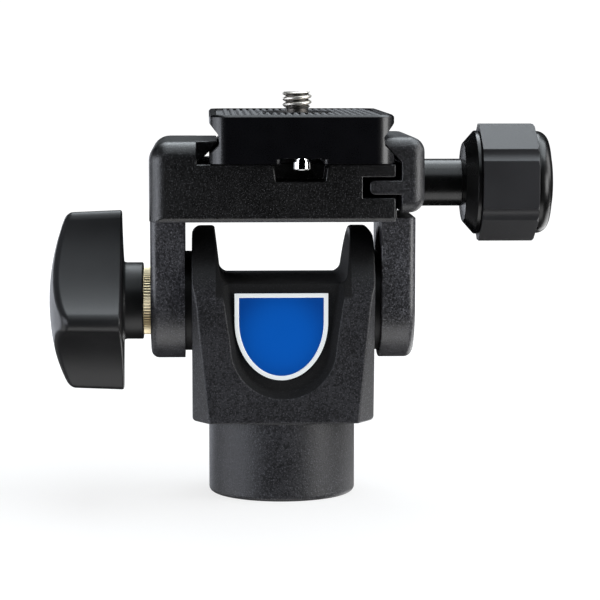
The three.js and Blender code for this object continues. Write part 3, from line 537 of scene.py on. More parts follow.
knob_skin = moulded("satin plastic of the tilt knob", 0.016, 0.021, 0.4, Specular_IOR_Level=0.42)
grip_rubber = moulded("rubber of the grip", 0.021, 0.028, 0.5, spots=0.4, blue=1.1)
pad_rubber = moulded("rubber of the pad", 0.085, 0.115, 0.62, spots=0.2)
gloss_black = moulded(
    "polished black plastic", 0.004, 0.006, 0.28, spots=3, depth=0.004, blue=1.02
)
nylon_black = moulded("nylon of the washers", 0.01, 0.016, 0.5)

# %% [markdown]
# ## Metals
# The plate is black anodised aluminium, brushed along its length and satin. Bare metals differ in
# colour and in the marks that the lathe left: fine rings round the axis, made here by a noise
# that is squeezed along one direction.

# %% Machined metals
def machined(
    name, colour, rough, metal=1.0, size=0.3, stretch=(1, 1, 1), depth=0.004, vary=0.2, **fixed
):
    look, shader, place = new_look(name, Metallic=metal, **fixed)
    marks = grain(place, size, stretch=stretch)
    stain = grain(place, 5)
    darker = tuple(channel * (1 - vary) for channel in colour[:3]) + (1,)
    fed(shader, Base_Color=blended(stepped(stain, 0.3, 0.7), darker, colour))
    fed(shader, Roughness=rough + (marks - 0.5) * 0.2 + (stain - 0.5) * 0.05)
    bumped(shader, marks, depth, 0.6)
    return look


anodised = machined(
    "black anodised plate", (0.0018, 0.0018, 0.003, 1), 0.3, metal=0.0, size=0.6,
    stretch=(3, 0.1, 3), Specular_IOR_Level=0.6,
)
steel = machined("bright steel", (0.82, 0.79, 0.74, 1), 0.3, size=0.5, stretch=(0.2, 0.2, 3))
pin_steel = machined("polished steel of the pins", (0.85, 0.85, 0.83, 1), 0.08, depth=0.001)
tool_steel = machined("black oxide steel", (0.16, 0.16, 0.165, 1), 0.35)
brass = machined("turned brass", (1.0, 0.87, 0.6, 1), 0.42, stretch=(3, 0.2, 0.2), vary=0.05)
bronze = machined("bearing bronze", (0.6, 0.42, 0.24, 1), 0.4)


# %% Steel of the camera screw
def threaded_steel(axis_x, root, crest):
    """Steel with painted shade: bright on the crests of a thread, darkened down in its grooves."""
    look, shader, place = new_look("steel of the camera screw", Metallic=1.0)
    across, depth = along(place, "X") - axis_x * MM, along(place, "Y")
    reach = across * across + depth * depth
    # Painted shade: the grooves are coloured dark, the crests bright.
    unshaded_crests = stepped(reach, (root * MM) ** 2, (crest * MM) ** 2)
    marks = grain(place, 0.5)
    fed(shader, Base_Color=blended(unshaded_crests, (0.14, 0.13, 0.12, 1), (0.88, 0.84, 0.77, 1)))
    fed(shader, Roughness=0.42 + (marks - 0.5) * 0.12)
    bumped(shader, marks, 0.001, 0.3)
    return look


screw_steel = threaded_steel(PLATE_X, 2.5, 2.95)


# %% [markdown]
# ## The shield
# The badge is a blue enamelled field in a bright rim. Rim and field are one stamped piece, so one
# material tells them apart by depth: what stands proud is the pale rim, the rest is enamel, which
# is a clear blue in the middle and deeper towards the rim, where it lies thicker. A shiny rim seen
# from straight in front mirrors the light beside the camera. No panel stands there, so a little
# light of the rim's own stands in for it: a painted glow. The enamel is given a faint blue glow
# too.

# %% Enamel in a metal rim
BADGE_FRONT = -15.45
BADGE_SINK = 0.2
BADGE_TOP, BADGE_X, BADGE_MIDDLE = 45.1, -0.5, 36


def enamel():
    look, shader, place = new_look(
        "blue enamel in a bright rim", Coat_Roughness=0.3, Emission_Strength=1.0
    )
    edge = (BADGE_FRONT + BADGE_SINK) * MM
    field = stepped(along(place, "Y"), edge - 0.06 * MM, edge - 0.03 * MM)
    across = along(place, "X") - BADGE_X * MM
    height = along(place, "Z") - BADGE_MIDDLE * MM
    reach = across * across + height * height
    deeper = stepped(reach, (2 * MM) ** 2, (11 * MM) ** 2)
    fine = grain(place, 0.4)
    clear_blue, deep_blue = (0.0, 0.135, 0.7, 1), (0.0, 0.07, 0.42, 1)
    blue = blended(deeper, clear_blue, deep_blue)
    fed(shader, Base_Color=blended(field, (0.82, 0.84, 0.84, 1), blue))
    # Painted light: the rim glows pale grey and the enamel faintly blue.
    fed(shader, Emission_Color=blended(field, (0.3, 0.32, 0.32, 1), (0, 0.006, 0.01, 1)))
    fed(shader, Roughness=0.24 + field * 0.1 + (fine - 0.5) * 0.08)
    fed(shader, Coat_Weight=field * 0.2)
    bumped(shader, fine, 0.003, 0.5)
    return look


badge_look = enamel()

# %% [markdown]
# ## The fork
# The fork is one casting: a block with two arms, rounded at the top where the platform swings
# past, on a round foot. Seen from the front it is a U, seen from the side a tombstone. The block
# is where the two outlines overlap, which gives both at once. Four slices take off its upright
# corners, widest at the bottom.

# %% Fork block
FORK_X, FORK_Y = 19.6, 16.5
FORK_BOTTOM, FORK_TOP = 17.1, 58.6
fork = prism("fork_casting", [
    (-FORK_X, FORK_BOTTOM, 0.8), (FORK_X, FORK_BOTTOM, 0.8), (FORK_X, FORK_TOP, 2.4),
    (14.7, FORK_TOP, 0.8), (13.4, 47.3, 1.8), (-13.4, 47.3, 1.8),
    (-14.7, FORK_TOP, 0.8), (-FORK_X, FORK_TOP, 2.4),
], "front", -FORK_Y, FORK_Y)
side_form = prism("side_form", [
    (-FORK_Y, 10), (FORK_Y, 10), (FORK_Y, FORK_TOP, FORK_Y), (-FORK_Y, FORK_TOP, FORK_Y),
], "side", -30, 30, steps=24)
common(fork, side_form)

corner_foot = Vector((FORK_X, 10.9, FORK_BOTTOM))
corner_front = Vector((16, FORK_Y, FORK_BOTTOM))
corner_top = Vector((19.4, FORK_Y, 50))
slope = (corner_front - corner_foot).cross(corner_top - corner_foot).normalized()
for across in (1, -1):
    for deep in (1, -1):
        turn = Vector((across, deep, 1))
        sliced(fork, corner_front * turn, slope * turn)
print("fork block:", len(fork.data.polygons), "faces")

# %% [markdown]
# The foot is turned, with its bottom edge rounded. A shallow recess with sloping walls lies in the
# front and in the back of the fork. Its cutter is a prism whose end face is inset and pushed
# forward in one go, which makes the slope.

# %% Foot and recesses
foot = turned("foot", [(0, 0), (16, 0, 1), (16, 19), (0, 19)], sides=128)
joined(fork, foot)

RECESS_MIDDLE, RECESS_RADIUS = 33.7, 11.3
recess = prism(
    "recess_front",
    [(13.5, 48.8), (-13.5, 48.8)] + arc(0, RECESS_MIDDLE, RECESS_RADIUS, 180, 360, 32),
    "front", -FORK_Y - 3, -FORK_Y,
)
pick(recess, "FACE", at(y=-FORK_Y))
bpy.ops.mesh.inset(thickness=1.2 * MM, depth=1.75 * MM)
cut(fork, copied(recess, "recess_back", turn=180), recess)
softened(fork, 0.4)

# %% [markdown]
# The holes come last, after the edges are rounded, so that the bevel only had the outer form to
# deal with: the bore for the pivot bolt, the seats of its bushes and washers, and the socket
# under the foot.

# %% Holes in the fork
def on_tilt_axis(name, radius, start, end, sides=96):
    return rod(name, radius, start, end, "x", (0, 0, TILT_AXIS), sides)


cut(
    fork,
    on_tilt_axis("bolt_hole", BOLT_HOLE, -30, 30, 48),
    on_tilt_axis("left_bush_seat", 5.3, -30, -13.4),
    on_tilt_axis("right_bush_seat", 5.3, 13.4, 30),
    on_tilt_axis("left_washer_seat", WASHER_SEAT, -30, -19.1),
    on_tilt_axis("right_washer_seat", WASHER_SEAT, 19.1, 30),
    rod("socket", 6.3, -3, 12.6, "z", sides=64),
)
settled(fork, "base_body", "base", base_coat)

# %% [markdown]
# ## The badge
# The shield is cut from sheet and stamped, so that its field lies lower than its rim: an inset
# and a short push inwards. It carries no sign.

# %% Badge
badge = prism(
    "badge",
    [(10, BADGE_TOP), (-10, BADGE_TOP)] + arc(0, 39, 10, 180, 360, 48, 12.6),
    "front", BADGE_FRONT, BADGE_FRONT + 0.6,
)
pick(badge, "FACE", at(y=BADGE_FRONT))
bpy.ops.mesh.inset(thickness=0.8 * MM)


def on_field(x, y, z):
    in_point = (x / 9.6) ** 2 + ((z - 39) / 12.2) ** 2 < 1
    return near(y, BADGE_FRONT) and abs(x) < 9.6 and z < 44.7 and (z > 39 or in_point)


pick(badge, "FACE", on_field)
bpy.ops.mesh.inset(thickness=0.15 * MM, depth=-BADGE_SINK * MM)
moved(badge, BADGE_X)
softened(badge, 0.1, steps=2, angle=40, clamp=True)
settled(badge, "badge_plate", "base", badge_look)

# %% [markdown]
# ## The platform
# The platform is a casting too: a floor with a fixed jaw at its left end, and two ears that hang
# down beside the fork. It starts as a block. Its left end and top are generously rounded, so
# these edges are bevelled while the block is still plain, and the rest is then cut away.

# %% Platform block
LEFT, RIGHT = -28.5, 23.4
FLOOR, BOTTOM, JAW_TOP, DEEP = 72.8, 60.6, 77.6, 21
platform = block("platform_casting", (LEFT, -DEEP, 50), (40, DEEP, JAW_TOP))
rounded(platform, 4, 8, at(x=LEFT, z=JAW_TOP))
for face in (-DEEP, DEEP):
    rounded(platform, 3.6, 8, lambda x, y, z: near(y, face) and (x < -24 or z > 77) and z > 49.9)
clean(platform)
sliced(platform, (RIGHT, 0, 0), (1, 0, 0))
sliced(platform, (0, 0, BOTTOM), (0, 0, -1))
for face in (-1, 1):
    sliced(platform, (0, face * DEEP, BOTTOM + 0.8), (0, face, -1))

# %% [markdown]
# The plate's channel is milled out of the block down to the floor, with a notch in each end for
# the plate's stop pins. What stays at the left is the fixed jaw, and its thin lip leans over the
# channel at 45 degrees.

# %% Channel, lip, slot and notches
LIP_FOOT, LIP_TIP = -18.4, -14.1
SLOT_IN, SLOT_HALF = 16.5, 2.2


def clamp_slot():
    return block(
        "clamp_slot", (SLOT_IN, -40, CLAMP_AXIS - SLOT_HALF), (60, 40, CLAMP_AXIS + SLOT_HALF)
    )


cut(
    platform,
    block("channel", (LIP_FOOT, -40, FLOOR), (60, 40, 90)),
    clamp_slot(),
)
lip = prism("lip", [
    (LIP_FOOT - 2, FLOOR - 1), (LIP_FOOT, FLOOR - 1), (LIP_FOOT, FLOOR),
    (LIP_TIP, 77.1), (LIP_TIP, JAW_TOP), (LIP_FOOT - 2, JAW_TOP),
], "front", -17, 17)
notch = prism("notch_front", [
    (PLATE_X - 5.2, 69.2, 0.4), (PLATE_X + 5.2, 69.2, 0.4), (PLATE_X + 5.6, FLOOR - 0.7, 0.0),
    (PLATE_X + 6.3, FLOOR + 0.1), (PLATE_X + 6.3, FLOOR + 2), (PLATE_X - 6.3, FLOOR + 2),
    (PLATE_X - 6.3, FLOOR + 0.1), (PLATE_X - 5.6, FLOOR - 0.7),
], "front", -30, -13.5)
notch_back = copied(notch, "notch_back", (2 * PLATE_X, 0, 0), turn=180)
joined(platform, lip)
cut(platform, notch, notch_back)
softened(platform, 0.3, angle=33)

# %% [markdown]
# Each ear is a flat cheek with a round end, rounded only on its outer side. The left one is
# modelled and copied to the right, where a ledge is milled off for the sliding jaw.

# %% Ears and boss
EAR_IN, EAR_OUT, EAR_Y = 21.1, 28.5, 12.5
ear = prism("left_ear", [(EAR_Y, 66), (-EAR_Y, 66)] + arc(0, TILT_AXIS, EAR_Y, 180, 360, 48),
            "side", -EAR_OUT, -EAR_IN)
rounded(ear, 1.7, 5, at(x=-EAR_OUT))
clean(ear)
right_ear = copied(ear, "right_ear", turn=180)
sliced(right_ear, (0, 0, 61), (0, 0, 1))
softened(right_ear, 0.3, angle=40)
boss = block("boss", (20, -EAR_Y, BOTTOM), (24.4, EAR_Y, FLOOR))
softened(boss, 0.3)
right_neck = block("right_neck", (EAR_IN, -EAR_Y, 55), (RIGHT, EAR_Y, 64))
joined(platform, ear, boss, right_ear, right_neck)

# %% Holes in the platform
def on_clamp_axis(name, radius, start, end, y=0, sides=48):
    return rod(name, radius, start, end, "x", (0, y, CLAMP_AXIS), sides)


cut(
    platform,
    on_tilt_axis("bolt_hole", BOLT_HOLE, -40, 40, 48),
    on_tilt_axis("head_seat", 5.8, 23.7, 40),
    on_tilt_axis("brass_seat", 7.7, -40, -28),
    on_tilt_axis("left_washer_seat", WASHER_SEAT, -21.6, -20.35),
    on_tilt_axis("right_washer_seat", WASHER_SEAT, 20.35, 21.6),
    clamp_slot(),
    on_clamp_axis("screw_bore", BOLT_HOLE, -2, 60),
    on_clamp_axis("front_spring_pocket", 1.8, 9, 20, -13, 32),
    on_clamp_axis("rear_spring_pocket", 1.8, 9, 20, 13, 32),
)
settled(platform, "platform_body", "platform", head_coat)

# %% [markdown]
# ## The sliding jaw
# The jaw is where two outlines overlap again: its profile, with the lip and the tongue that runs
# in the platform's slot, and a block with large round edges.

# %% Sliding jaw
JAW_OUT, JAW_LOW, JAW_HIGH, JAW_IN = 29.7, 62.5, 78.5, 24.7
jaw = prism("clamp_jaw", [
    (40, 55), (40, 90), (22.3, 90), (22.3, JAW_HIGH), (20.9, 77.9), (20.9, 77.1),
    (JAW_IN, 73.3), (JAW_IN, CLAMP_AXIS + 1.5), (18, CLAMP_AXIS + 1.5, 0.9),
    (18, CLAMP_AXIS - 1.5, 1.2), (JAW_IN, CLAMP_AXIS - 1.5), (JAW_IN, 55),
], "front", -40, 40)
envelope = block("jaw_envelope", (0, -DEEP, JAW_LOW), (JAW_OUT, DEEP, JAW_HIGH))
for height in (JAW_LOW, JAW_HIGH):
    rounded(envelope, 3.2, 8, at(x=JAW_OUT, z=height))
for face in (-DEEP, DEEP):
    rounded(envelope, 2.8, 6, at(y=face))
common(jaw, envelope)
softened(jaw, 0.3, angle=33)
cut(
    jaw,
    on_clamp_axis("screw_hole", BOLT_HOLE, 0, 50),
    on_clamp_axis("washer_seat", 5.45, 28.1, 50, sides=64),
)
settled(jaw, "sliding_jaw", "jaw", jaw_coat)

# %% [markdown]
# ## The tilt knob
# The knob has four rounded lobes round a gently domed face. One quarter of its outline is worked
# out as arcs that run into each other, and turned copies of it make the rest. The outline is
# pulled up, and closed towards the middle in seven rings, which a shrinkwrap modifier lays on a
# large sphere. The rim is then bevelled.

# %% Outline of the lobes
TIP, VALLEY, LOBE = 20.3, 12.5, 2.3
LOBE_TURN = 9
KNOB_BACK, KNOB_APEX, DOME = 34.7, 50.7, 50.0


def lobes():
    """The knob's outline: the arcs of a tip and of a dip, four times."""
    tip_middle = TIP - LOBE
    diagonal = math.sqrt(2) * tip_middle
    hollow = (tip_middle ** 2 + VALLEY ** 2 - diagonal * VALLEY - LOBE ** 2) / (
        diagonal + 2 * LOBE - 2 * VALLEY)
    valley = Matrix.Rotation(math.pi / 4, 2) @ Vector((VALLEY + hollow, 0))
    lean = math.degrees(math.atan2(valley.y, valley.x - tip_middle))
    tip_arc = arc(tip_middle, 0, LOBE, -lean, lean, 12)
    half_dip = lean - 45
    dip_arc = arc(valley.x, valley.y, hollow, 225 + half_dip, 225 - half_dip, 20)[1:-1]
    points = []
    for lobe in range(4):
        turn = math.radians(90 * lobe)
        for x, y in tip_arc + dip_arc:
            points.append((
                x * math.cos(turn) - y * math.sin(turn),
                x * math.sin(turn) + y * math.cos(turn),
            ))
    return points


knob_outline = lobes()
print("the knob's outline has", len(knob_outline), "points")

# %% [markdown]
# The knob is modelled upright, like a part on a bench, with its face up, and is only laid on the
# tilt axis at the end.

# %% Knob head
knob = drawn("locking_knob", knob_outline, "plan", KNOB_BACK)
pick(knob, "FACE")
pulled((0, 0, (KNOB_APEX - 6 - KNOB_BACK) * MM))
rim_scale = (TIP - 0.5) / TIP
bpy.ops.transform.resize(value=(rim_scale, rim_scale, 1))
for share in (0.87, 0.8, 0.8, 0.75, 0.7, 0.6, 0.5):
    pulled((0, 0, 0))
    bpy.ops.transform.resize(value=(share, share, 1))
bpy.ops.mesh.merge(type="CENTER")
clean(knob, flat=None)

face_group = knob.vertex_groups.new(name="face")
face_group.add([v.index for v in knob.data.vertices if v.co.z > (KNOB_APEX - 7) * MM], 1, "ADD")
bpy.ops.mesh.primitive_uv_sphere_add(
    segments=256, ring_count=256, radius=DOME * MM, location=(0, 0, (KNOB_APEX - DOME) * MM)
)
dome = bpy.context.object
modified(
    knob, "SHRINKWRAP", target=dome, vertex_group="face", wrap_method="PROJECT",
    use_project_z=True, use_negative_direction=True, use_positive_direction=True,
)
bpy.data.objects.remove(dome)
knob.vertex_groups.clear()
print("the knob's apex is at", round(max(v.co.z for v in knob.data.vertices) / MM, 3), "mm")

# %% Knob rim, neck and bore
rim_spots = [Vector(point) * rim_scale for point in knob_outline]


def on_rim(x, y, z):
    to_rim = min((Vector((x, y)) - spot).length for spot in rim_spots)
    return z > KNOB_BACK + 5 and to_rim < 0.02


rounded(knob, 1.25, 5, on_rim)
rounded(knob, 0.5, 3, lambda x, y, z: near(z, KNOB_BACK) and math.hypot(x, y) > 8)
clean(knob, flat=None)
neck = turned("neck", [
    (0, 30.2), (8.4, 30.2, 0.3), (8.4, 33.8), (8.5, 34.25), (8.8, 34.55), (9.3, 34.72),
    (9.3, 37), (0, 37),
])
joined(knob, neck)
cut(knob, rod("insert_bore", 6.3, 20, 44.3, "z"))
knob.rotation_euler = (0, -math.pi / 2, 0)
moved(knob)
knob.rotation_euler = (math.radians(90 + LOBE_TURN), 0, 0)
moved(knob, z=TILT_AXIS)
settled(knob, "tilt_knob", "tilt_knob", knob_skin, angle=40)

# %% [markdown]
# ## The brass insert
# The plastic knob is moulded round a brass nut. Only its knurled collar shows between the knob and
# the ear. The knurl is one flute after another: a bar with many sides, of which every other edge
# is drawn outwards.

# %% Brass insert
insert = turned("brass_insert", [
    (BOLT_HOLE, -44), (6, -44, 0.2), (6, -30), (BOLT_HOLE, -30),
], "x", (0, 0, TILT_AXIS), closed=True)
FLUTE_LOW, FLUTE_HIGH, FLUTES = 7.22, 7.4, 72
collar = rod("collar", FLUTE_LOW, -30.1, -28.3, "x", sides=2 * FLUTES)
half_step = 180 / FLUTES
pick(collar, "VERT", lambda x, y, z: round(math.degrees(math.atan2(z, y)) / half_step) % 2 == 0)
raised = FLUTE_HIGH / FLUTE_LOW
bpy.ops.transform.resize(value=(1, raised, raised), center_override=(0, 0, 0))
moved(collar, z=TILT_AXIS)
joined(insert, collar)
cut(insert, on_tilt_axis("bolt_hole", BOLT_HOLE, -50, -20, 48))
settled(insert, "knob_insert", "tilt_knob", brass, angle=20)

# %% [markdown]
# ## The clamp knob
# Everything on the clamp knob turns on one axis: hub, shaft, flange and cap are turned profiles.
# Only the rubber grip is a hexagon. Its corners each have a shallow channel, milled with a round
# bar that is copied round the axis.

# %% Hub and cap
hub = turned("clamp_knob_hub", [
    (BOLT_HOLE, 29.4), (5.15, 29.4, 0.2), (5.15, 39.2, 0.15), (8.6, 39.7, 0.4),
    (11.3, 42.1, 0.3), (11.3, 43, 0.2), (8, 43), (8, 55), (4.3, 55), (4.3, 52), (0, 52),
    (0, 50), (BOLT_HOLE, 50),
], "x", (0, 0, CLAMP_AXIS), sides=128, closed=True)
settled(hub, "clamp_hub", "clamp_knob", gloss_black)

shoulder = [(11.2 - 2.6 * (1 - math.cos(a)), 55.7 + 2.6 * math.sin(a))
            for a in (math.pi / 2 * step / 12 for step in range(13))]
cap = turned("clamp_knob_cap", [(0, 52.3), (4, 52.3), (4, 55.3), (11.2, 55.3, 0.15)]
             + shoulder + [(6.5, 58.75), (4.3, 58.98), (2, 59.15), (0, 59.2)],
             "x", (0, 0, CLAMP_AXIS), sides=128)
settled(cap, "clamp_cap", "clamp_knob", gloss_black)

# %% Hexagonal grip
GRIP_FLAT, GRIP_START, GRIP_END = 11.85, 43, 55.3
GROOVE_HALF, GROOVE_DEEP = 1.43, 0.55
grip_corner = GRIP_FLAT / math.cos(math.pi / 6)
groove_lip = grip_corner - GROOVE_HALF * math.tan(math.pi / 6)
groove_radius = (GROOVE_HALF ** 2 + GROOVE_DEEP ** 2) / (2 * GROOVE_DEEP)
grip = rod("grip", grip_corner, GRIP_START, GRIP_END, "x", sides=6)
grip.rotation_euler.x = math.radians(30)
moved(grip)
for number in range(6):
    angle = math.radians(90 + 60 * number)
    out = groove_lip - GROOVE_DEEP + groove_radius
    milling = rod(f"groove_{number}", groove_radius, 30, 60, "x",
                  (0, out * math.cos(angle), out * math.sin(angle)), 48)
    cut(grip, milling)
softened(grip, 0.22, steps=2, angle=25)
ends = turned("grip_ends", [
    (0, 43.1), (groove_lip + 0.3, 43.1), (groove_lip + 0.3, 54.6), (groove_lip - 0.4, 55.2),
    (0, 55.2),
], "x", sides=128)
common(grip, ends)
cut(grip, rod("grip_bore", 8.3, 40, 60, "x", sides=96))
moved(grip, z=CLAMP_AXIS)
grip.name = "hexagonal_grip"
settled(grip, "hex_grip", "clamp_knob", grip_rubber, angle=25)

# %% [markdown]
# ## The plate
# The plate is an extrusion with a dovetail on both flanks, and its corners are rounded in plan. As
# before, it is the overlap of two prisms. The groove, the pad's pocket and the screw's seat are
# milled into it.

# %% Plate
PLATE_LOW, PLATE_TOP, PLATE_Y = 73.3, 83.4, 30
half = [(18.8, PLATE_LOW), (19.2, 73.7), (19.2, 75), (17.1, 77.1), (16.9, 78.8), (19.2, 81.7),
        (19.2, PLATE_TOP)]
profile = half + [(-x, z) for x, z in reversed(half)]


def plan_corners(wide, long, radius):
    corners = ((-1, -1), (1, -1), (1, 1), (-1, 1))
    return [(side * wide, end * long, radius) for side, end in corners]


plate = prism("dovetail_plate", profile, "front", -PLATE_Y, PLATE_Y)
common(plate, prism("plate_plan", plan_corners(19.2, PLATE_Y, 4), "plan", 60, 100, steps=8))
rounded(plate, 0.45, 1, at(z=PLATE_TOP))
clean(plate)
GROOVE_SIDE, GROOVE_TOP = 4.6, PLATE_LOW + 1.2
groove = prism("plate_groove", [
    (-GROOVE_SIDE, 60), (GROOVE_SIDE, 60), (GROOVE_SIDE, GROOVE_TOP, 0.3),
    (-GROOVE_SIDE, GROOVE_TOP, 0.3),
], "front", -40, 40)
cut(plate, groove)
for side in (-GROOVE_SIDE, GROOVE_SIDE):
    for end in (-PLATE_Y, PLATE_Y):
        rounded(plate, 0.9, 4, lambda x, y, z: near(x, side) and near(y, end) and z < 74.3)
clean(plate)
softened(plate, 0.14, steps=2, clamp=True)
pad_area = prism("pad_area", plan_corners(17.9, 28.7, 2.7), "plan", PLATE_TOP - 0.9, 90)
island = prism("island", plan_corners(7.5, 10, 7.4), "plan", 70, 95, steps=12)
cut(pad_area, island)
PINS = 26.5
cut(
    plate, pad_area,
    rod("head_seat", 7.3, 60, 77.1, "z", sides=96),
    rod("screw_hole", 3.475, 60, 95, "z", sides=48),
    rod("clip_seat", 5.2, 82, 95, "z", sides=64),
    rod("front_pin_hole", 1.6, 60, 79.3, "z", (0, -PINS, 0), 32),
    rod("rear_pin_hole", 1.6, 60, 79.3, "z", (0, PINS, 0), 32),
)
moved(plate, PLATE_X)
settled(plate, "release_plate", "plate", anodised)

# %% [markdown]
# ## The pad
# The rubber pad has rows of small rounded studs that grip the camera. One stud is a cube whose top
# is drawn in and rounded off by a bevel. It is copied into a row, and the row into a field, and
# only the studs that fit on the pad are kept.

# %% Rubber pad
PAD_X, PAD_Y, PAD_HOLE = 17.6, 28.4, 7.8
STUD_PITCH, STUD_HALF, STUD_BASE = 1.48, 0.62, 82.9
pad = prism("studded_pad", plan_corners(PAD_X, PAD_Y, 2.4), "plan", PLATE_TOP - 0.8, STUD_BASE)
cut(pad, prism("pad_hole", plan_corners(PAD_HOLE, 10.3, 7.7), "plan", 70, 95, steps=12))

stud = block(
    "stud", (-STUD_HALF, -STUD_HALF, STUD_BASE - 0.1), (STUD_HALF, STUD_HALF, PLATE_TOP)
)
pick(stud, "FACE", at(z=PLATE_TOP))
bpy.ops.transform.resize(value=(0.45, 0.45, 1))
bpy.ops.mesh.bevel(offset=0.12 * MM, segments=2, affect="EDGES")
only(stud)


def on_pad(x, y):
    inside = abs(x) < PAD_X - 0.7 and abs(y) < PAD_Y - 0.7
    corner = math.hypot(max(abs(x) - 15.2, 0), max(abs(y) - 26, 0)) < 1.7
    outside_hole = math.hypot(x, max(abs(y) - 2.3, 0)) > PAD_HOLE + 0.8
    return inside and corner and outside_hole


studs = []
for row in range(-19, 20):
    for column in range(-12, 12):
        x, y = (column + 0.5) * STUD_PITCH, row * STUD_PITCH
        if on_pad(x, y):
            copy = stud.copy()
            copy.data = stud.data.copy()
            copy.location = (x * MM, y * MM, 0)
            bpy.context.collection.objects.link(copy)
            studs.append(copy)
bpy.data.objects.remove(stud)
only(pad)
for copy in studs:
    copy.select_set(True)
bpy.ops.object.join()
print(len(studs), "studs on the pad")
moved(pad, PLATE_X)
settled(pad, "rubber_pad", "plate", pad_rubber)

# %% [markdown]
# ## Screw threads
# A thread is a small tooth wound round a core. The Screw modifier winds an outline and lifts it
# by the pitch on each turn. The wound tooth is closed at both ends, joined to a plain core, and
# trimmed with a turned envelope that has the chamfers.

# %% Threaded bars
def wound(piece, pitch, turns, steps):
    """Winds a closed outline upwards round Z and closes its two ends."""
    modified(
        piece, "SCREW", axis="Z", steps=steps, render_steps=steps, screw_offset=pitch * MM,
        iterations=turns, use_merge_vertices=False,
    )
    bpy.ops.object.mode_set(mode="EDIT")
    bpy.ops.mesh.select_mode(type="EDGE")
    bpy.ops.mesh.select_all(action="DESELECT")
    bpy.ops.mesh.select_non_manifold(extend=False)
    bpy.ops.mesh.edge_face_add()
    return clean(piece, flat=None)


def thread(name, radius, depth, pitch, start, end, sides=48):
    """A right-hand thread between two heights, along Z."""
    turns = math.ceil((end - start) / pitch) + 2
    low = start - pitch
    root, wide = radius - depth, pitch * 0.46
    tooth = drawn(name, [
        (root - 0.25, low - wide), (root - 0.25, low + wide), (root, low + wide),
        (radius, low + pitch * 0.16, pitch * 0.1), (radius, low - pitch * 0.16, pitch * 0.1),
        (root, low - wide),
    ])
    return wound(tooth, pitch, turns, sides)


# %% Camera screw
SCREW, SCREW_TOP, SCREW_PITCH, SCREW_DEEP = 3.175, 87.7, 1.27, 0.72
SCREW_CORE = SCREW - SCREW_DEEP
camera_thread = thread("camera_thread", SCREW, SCREW_DEEP, SCREW_PITCH, 84.2, SCREW_TOP)
print("the thread has", len(camera_thread.data.polygons), "faces")
core = turned("screw_core", [(0, 80), (SCREW_CORE, 80), (SCREW_CORE, 90), (0, 90)], sides=48)
joined(camera_thread, core)
common(camera_thread, turned("screw_envelope", [
    (0, 83.6), (2.3, 83.6), (2.3, 83.95), (3.3, 84.9), (3.3, 87.25), (2.85, SCREW_TOP),
    (0, SCREW_TOP),
], sides=48))
camera_screw = turned("quarter_inch_screw", [
    (0, 74.4), (7, 74.4, 0.35), (7, 76.8, 0.15), (SCREW, 76.8), (SCREW, 82), (2.4, 82),
    (2.4, 84.2), (0, 84.2),
])
joined(camera_screw, camera_thread)
cut(camera_screw, block("coin_slot", (-0.8, -9, 73), (0.8, 9, 75.6)))
moved(camera_screw, PLATE_X)
settled(camera_screw, "camera_screw", "camera_screw", screw_steel)

# %% [markdown]
# ## Small turned parts
# Pins, bolt, bushes, washers and the clip are plain turned parts with rounded edges.

# %% Pins and clip
pin = turned("front_pin", [
    (0, 71.9), (1.85, 71.9, 0.35), (1.85, 74.2), (1.3, 74.2), (1.3, 79), (0, 79),
], sides=64)
rear_pin = copied(pin, "rear_pin", (PLATE_X, PINS, 0))
front_pin = copied(pin, "front_stop_pin", (PLATE_X, -PINS, 0))
bpy.data.objects.remove(pin)
settled(front_pin, "stop_pin_front", "plate", pin_steel)
settled(rear_pin, "stop_pin_rear", "plate", pin_steel)


def ring(name, inner, outer, start, end, edge, axis="x", centre=(0, 0, 0), sides=64):
    """A turned ring with its outer corners rounded."""
    return turned(name, [
        (inner, start), (outer, start, edge), (outer, end, edge), (inner, end),
    ], axis, centre, sides, closed=True)


clip = ring("retaining_clip", 2.7, 4.9, 82.3, 83.1, 0.1, "z", (PLATE_X, 0, 0))
settled(clip, "screw_clip", "plate", tool_steel)

# %% Bolt, bushes and washers
bolt = turned("hinge_bolt", [
    (0, -42), (2.5, -42), (3, -41.5), (3, 24), (5.5, 24, 0.1), (5.5, 28.1, 0.5), (0, 28.1),
], "x")
socket_key = rod("hex_socket", 2.9, 25.9, 30, "x", sides=6)
cut(bolt, socket_key)
moved(bolt, z=TILT_AXIS)
settled(bolt, "pivot_bolt", "platform", tool_steel)

for side, word in ((-1, "left"), (1, "right")):
    washer = ring(
        f"{word}_friction_washer", BOLT_HOLE, 10.9, -0.95, 0.95, 0.2,
        centre=(side * 20.35, 0, TILT_AXIS), sides=96,
    )
    settled(washer, f"friction_washer_{word}", "platform", nylon_black)
    bush = ring(
        f"{word}_bush", BOLT_HOLE, 5, -2.7, 2.7, 0.2, centre=(side * 16.4, 0, TILT_AXIS)
    )
    settled(bush, f"pivot_bush_{word}", "base", bronze)
jaw_ring = ring("jaw_ring", BOLT_HOLE, 5.15, 28.4, 29.1, 0.1, centre=(0, 0, CLAMP_AXIS))
settled(jaw_ring, "jaw_washer", "jaw", nylon_black)

# %% [markdown]
# The clamp screw has a metric thread, and the steel insert in the foot has the matching thread of
# a monopod's stud cut into it, with the same winding as a cutter.

# %% Clamp screw and foot insert
def laid(piece, x=0, z=0):
    """Turns an upright piece to lie along X."""
    piece.rotation_euler = (0, math.pi / 2, 0)
    return moved(piece, x, z=z)


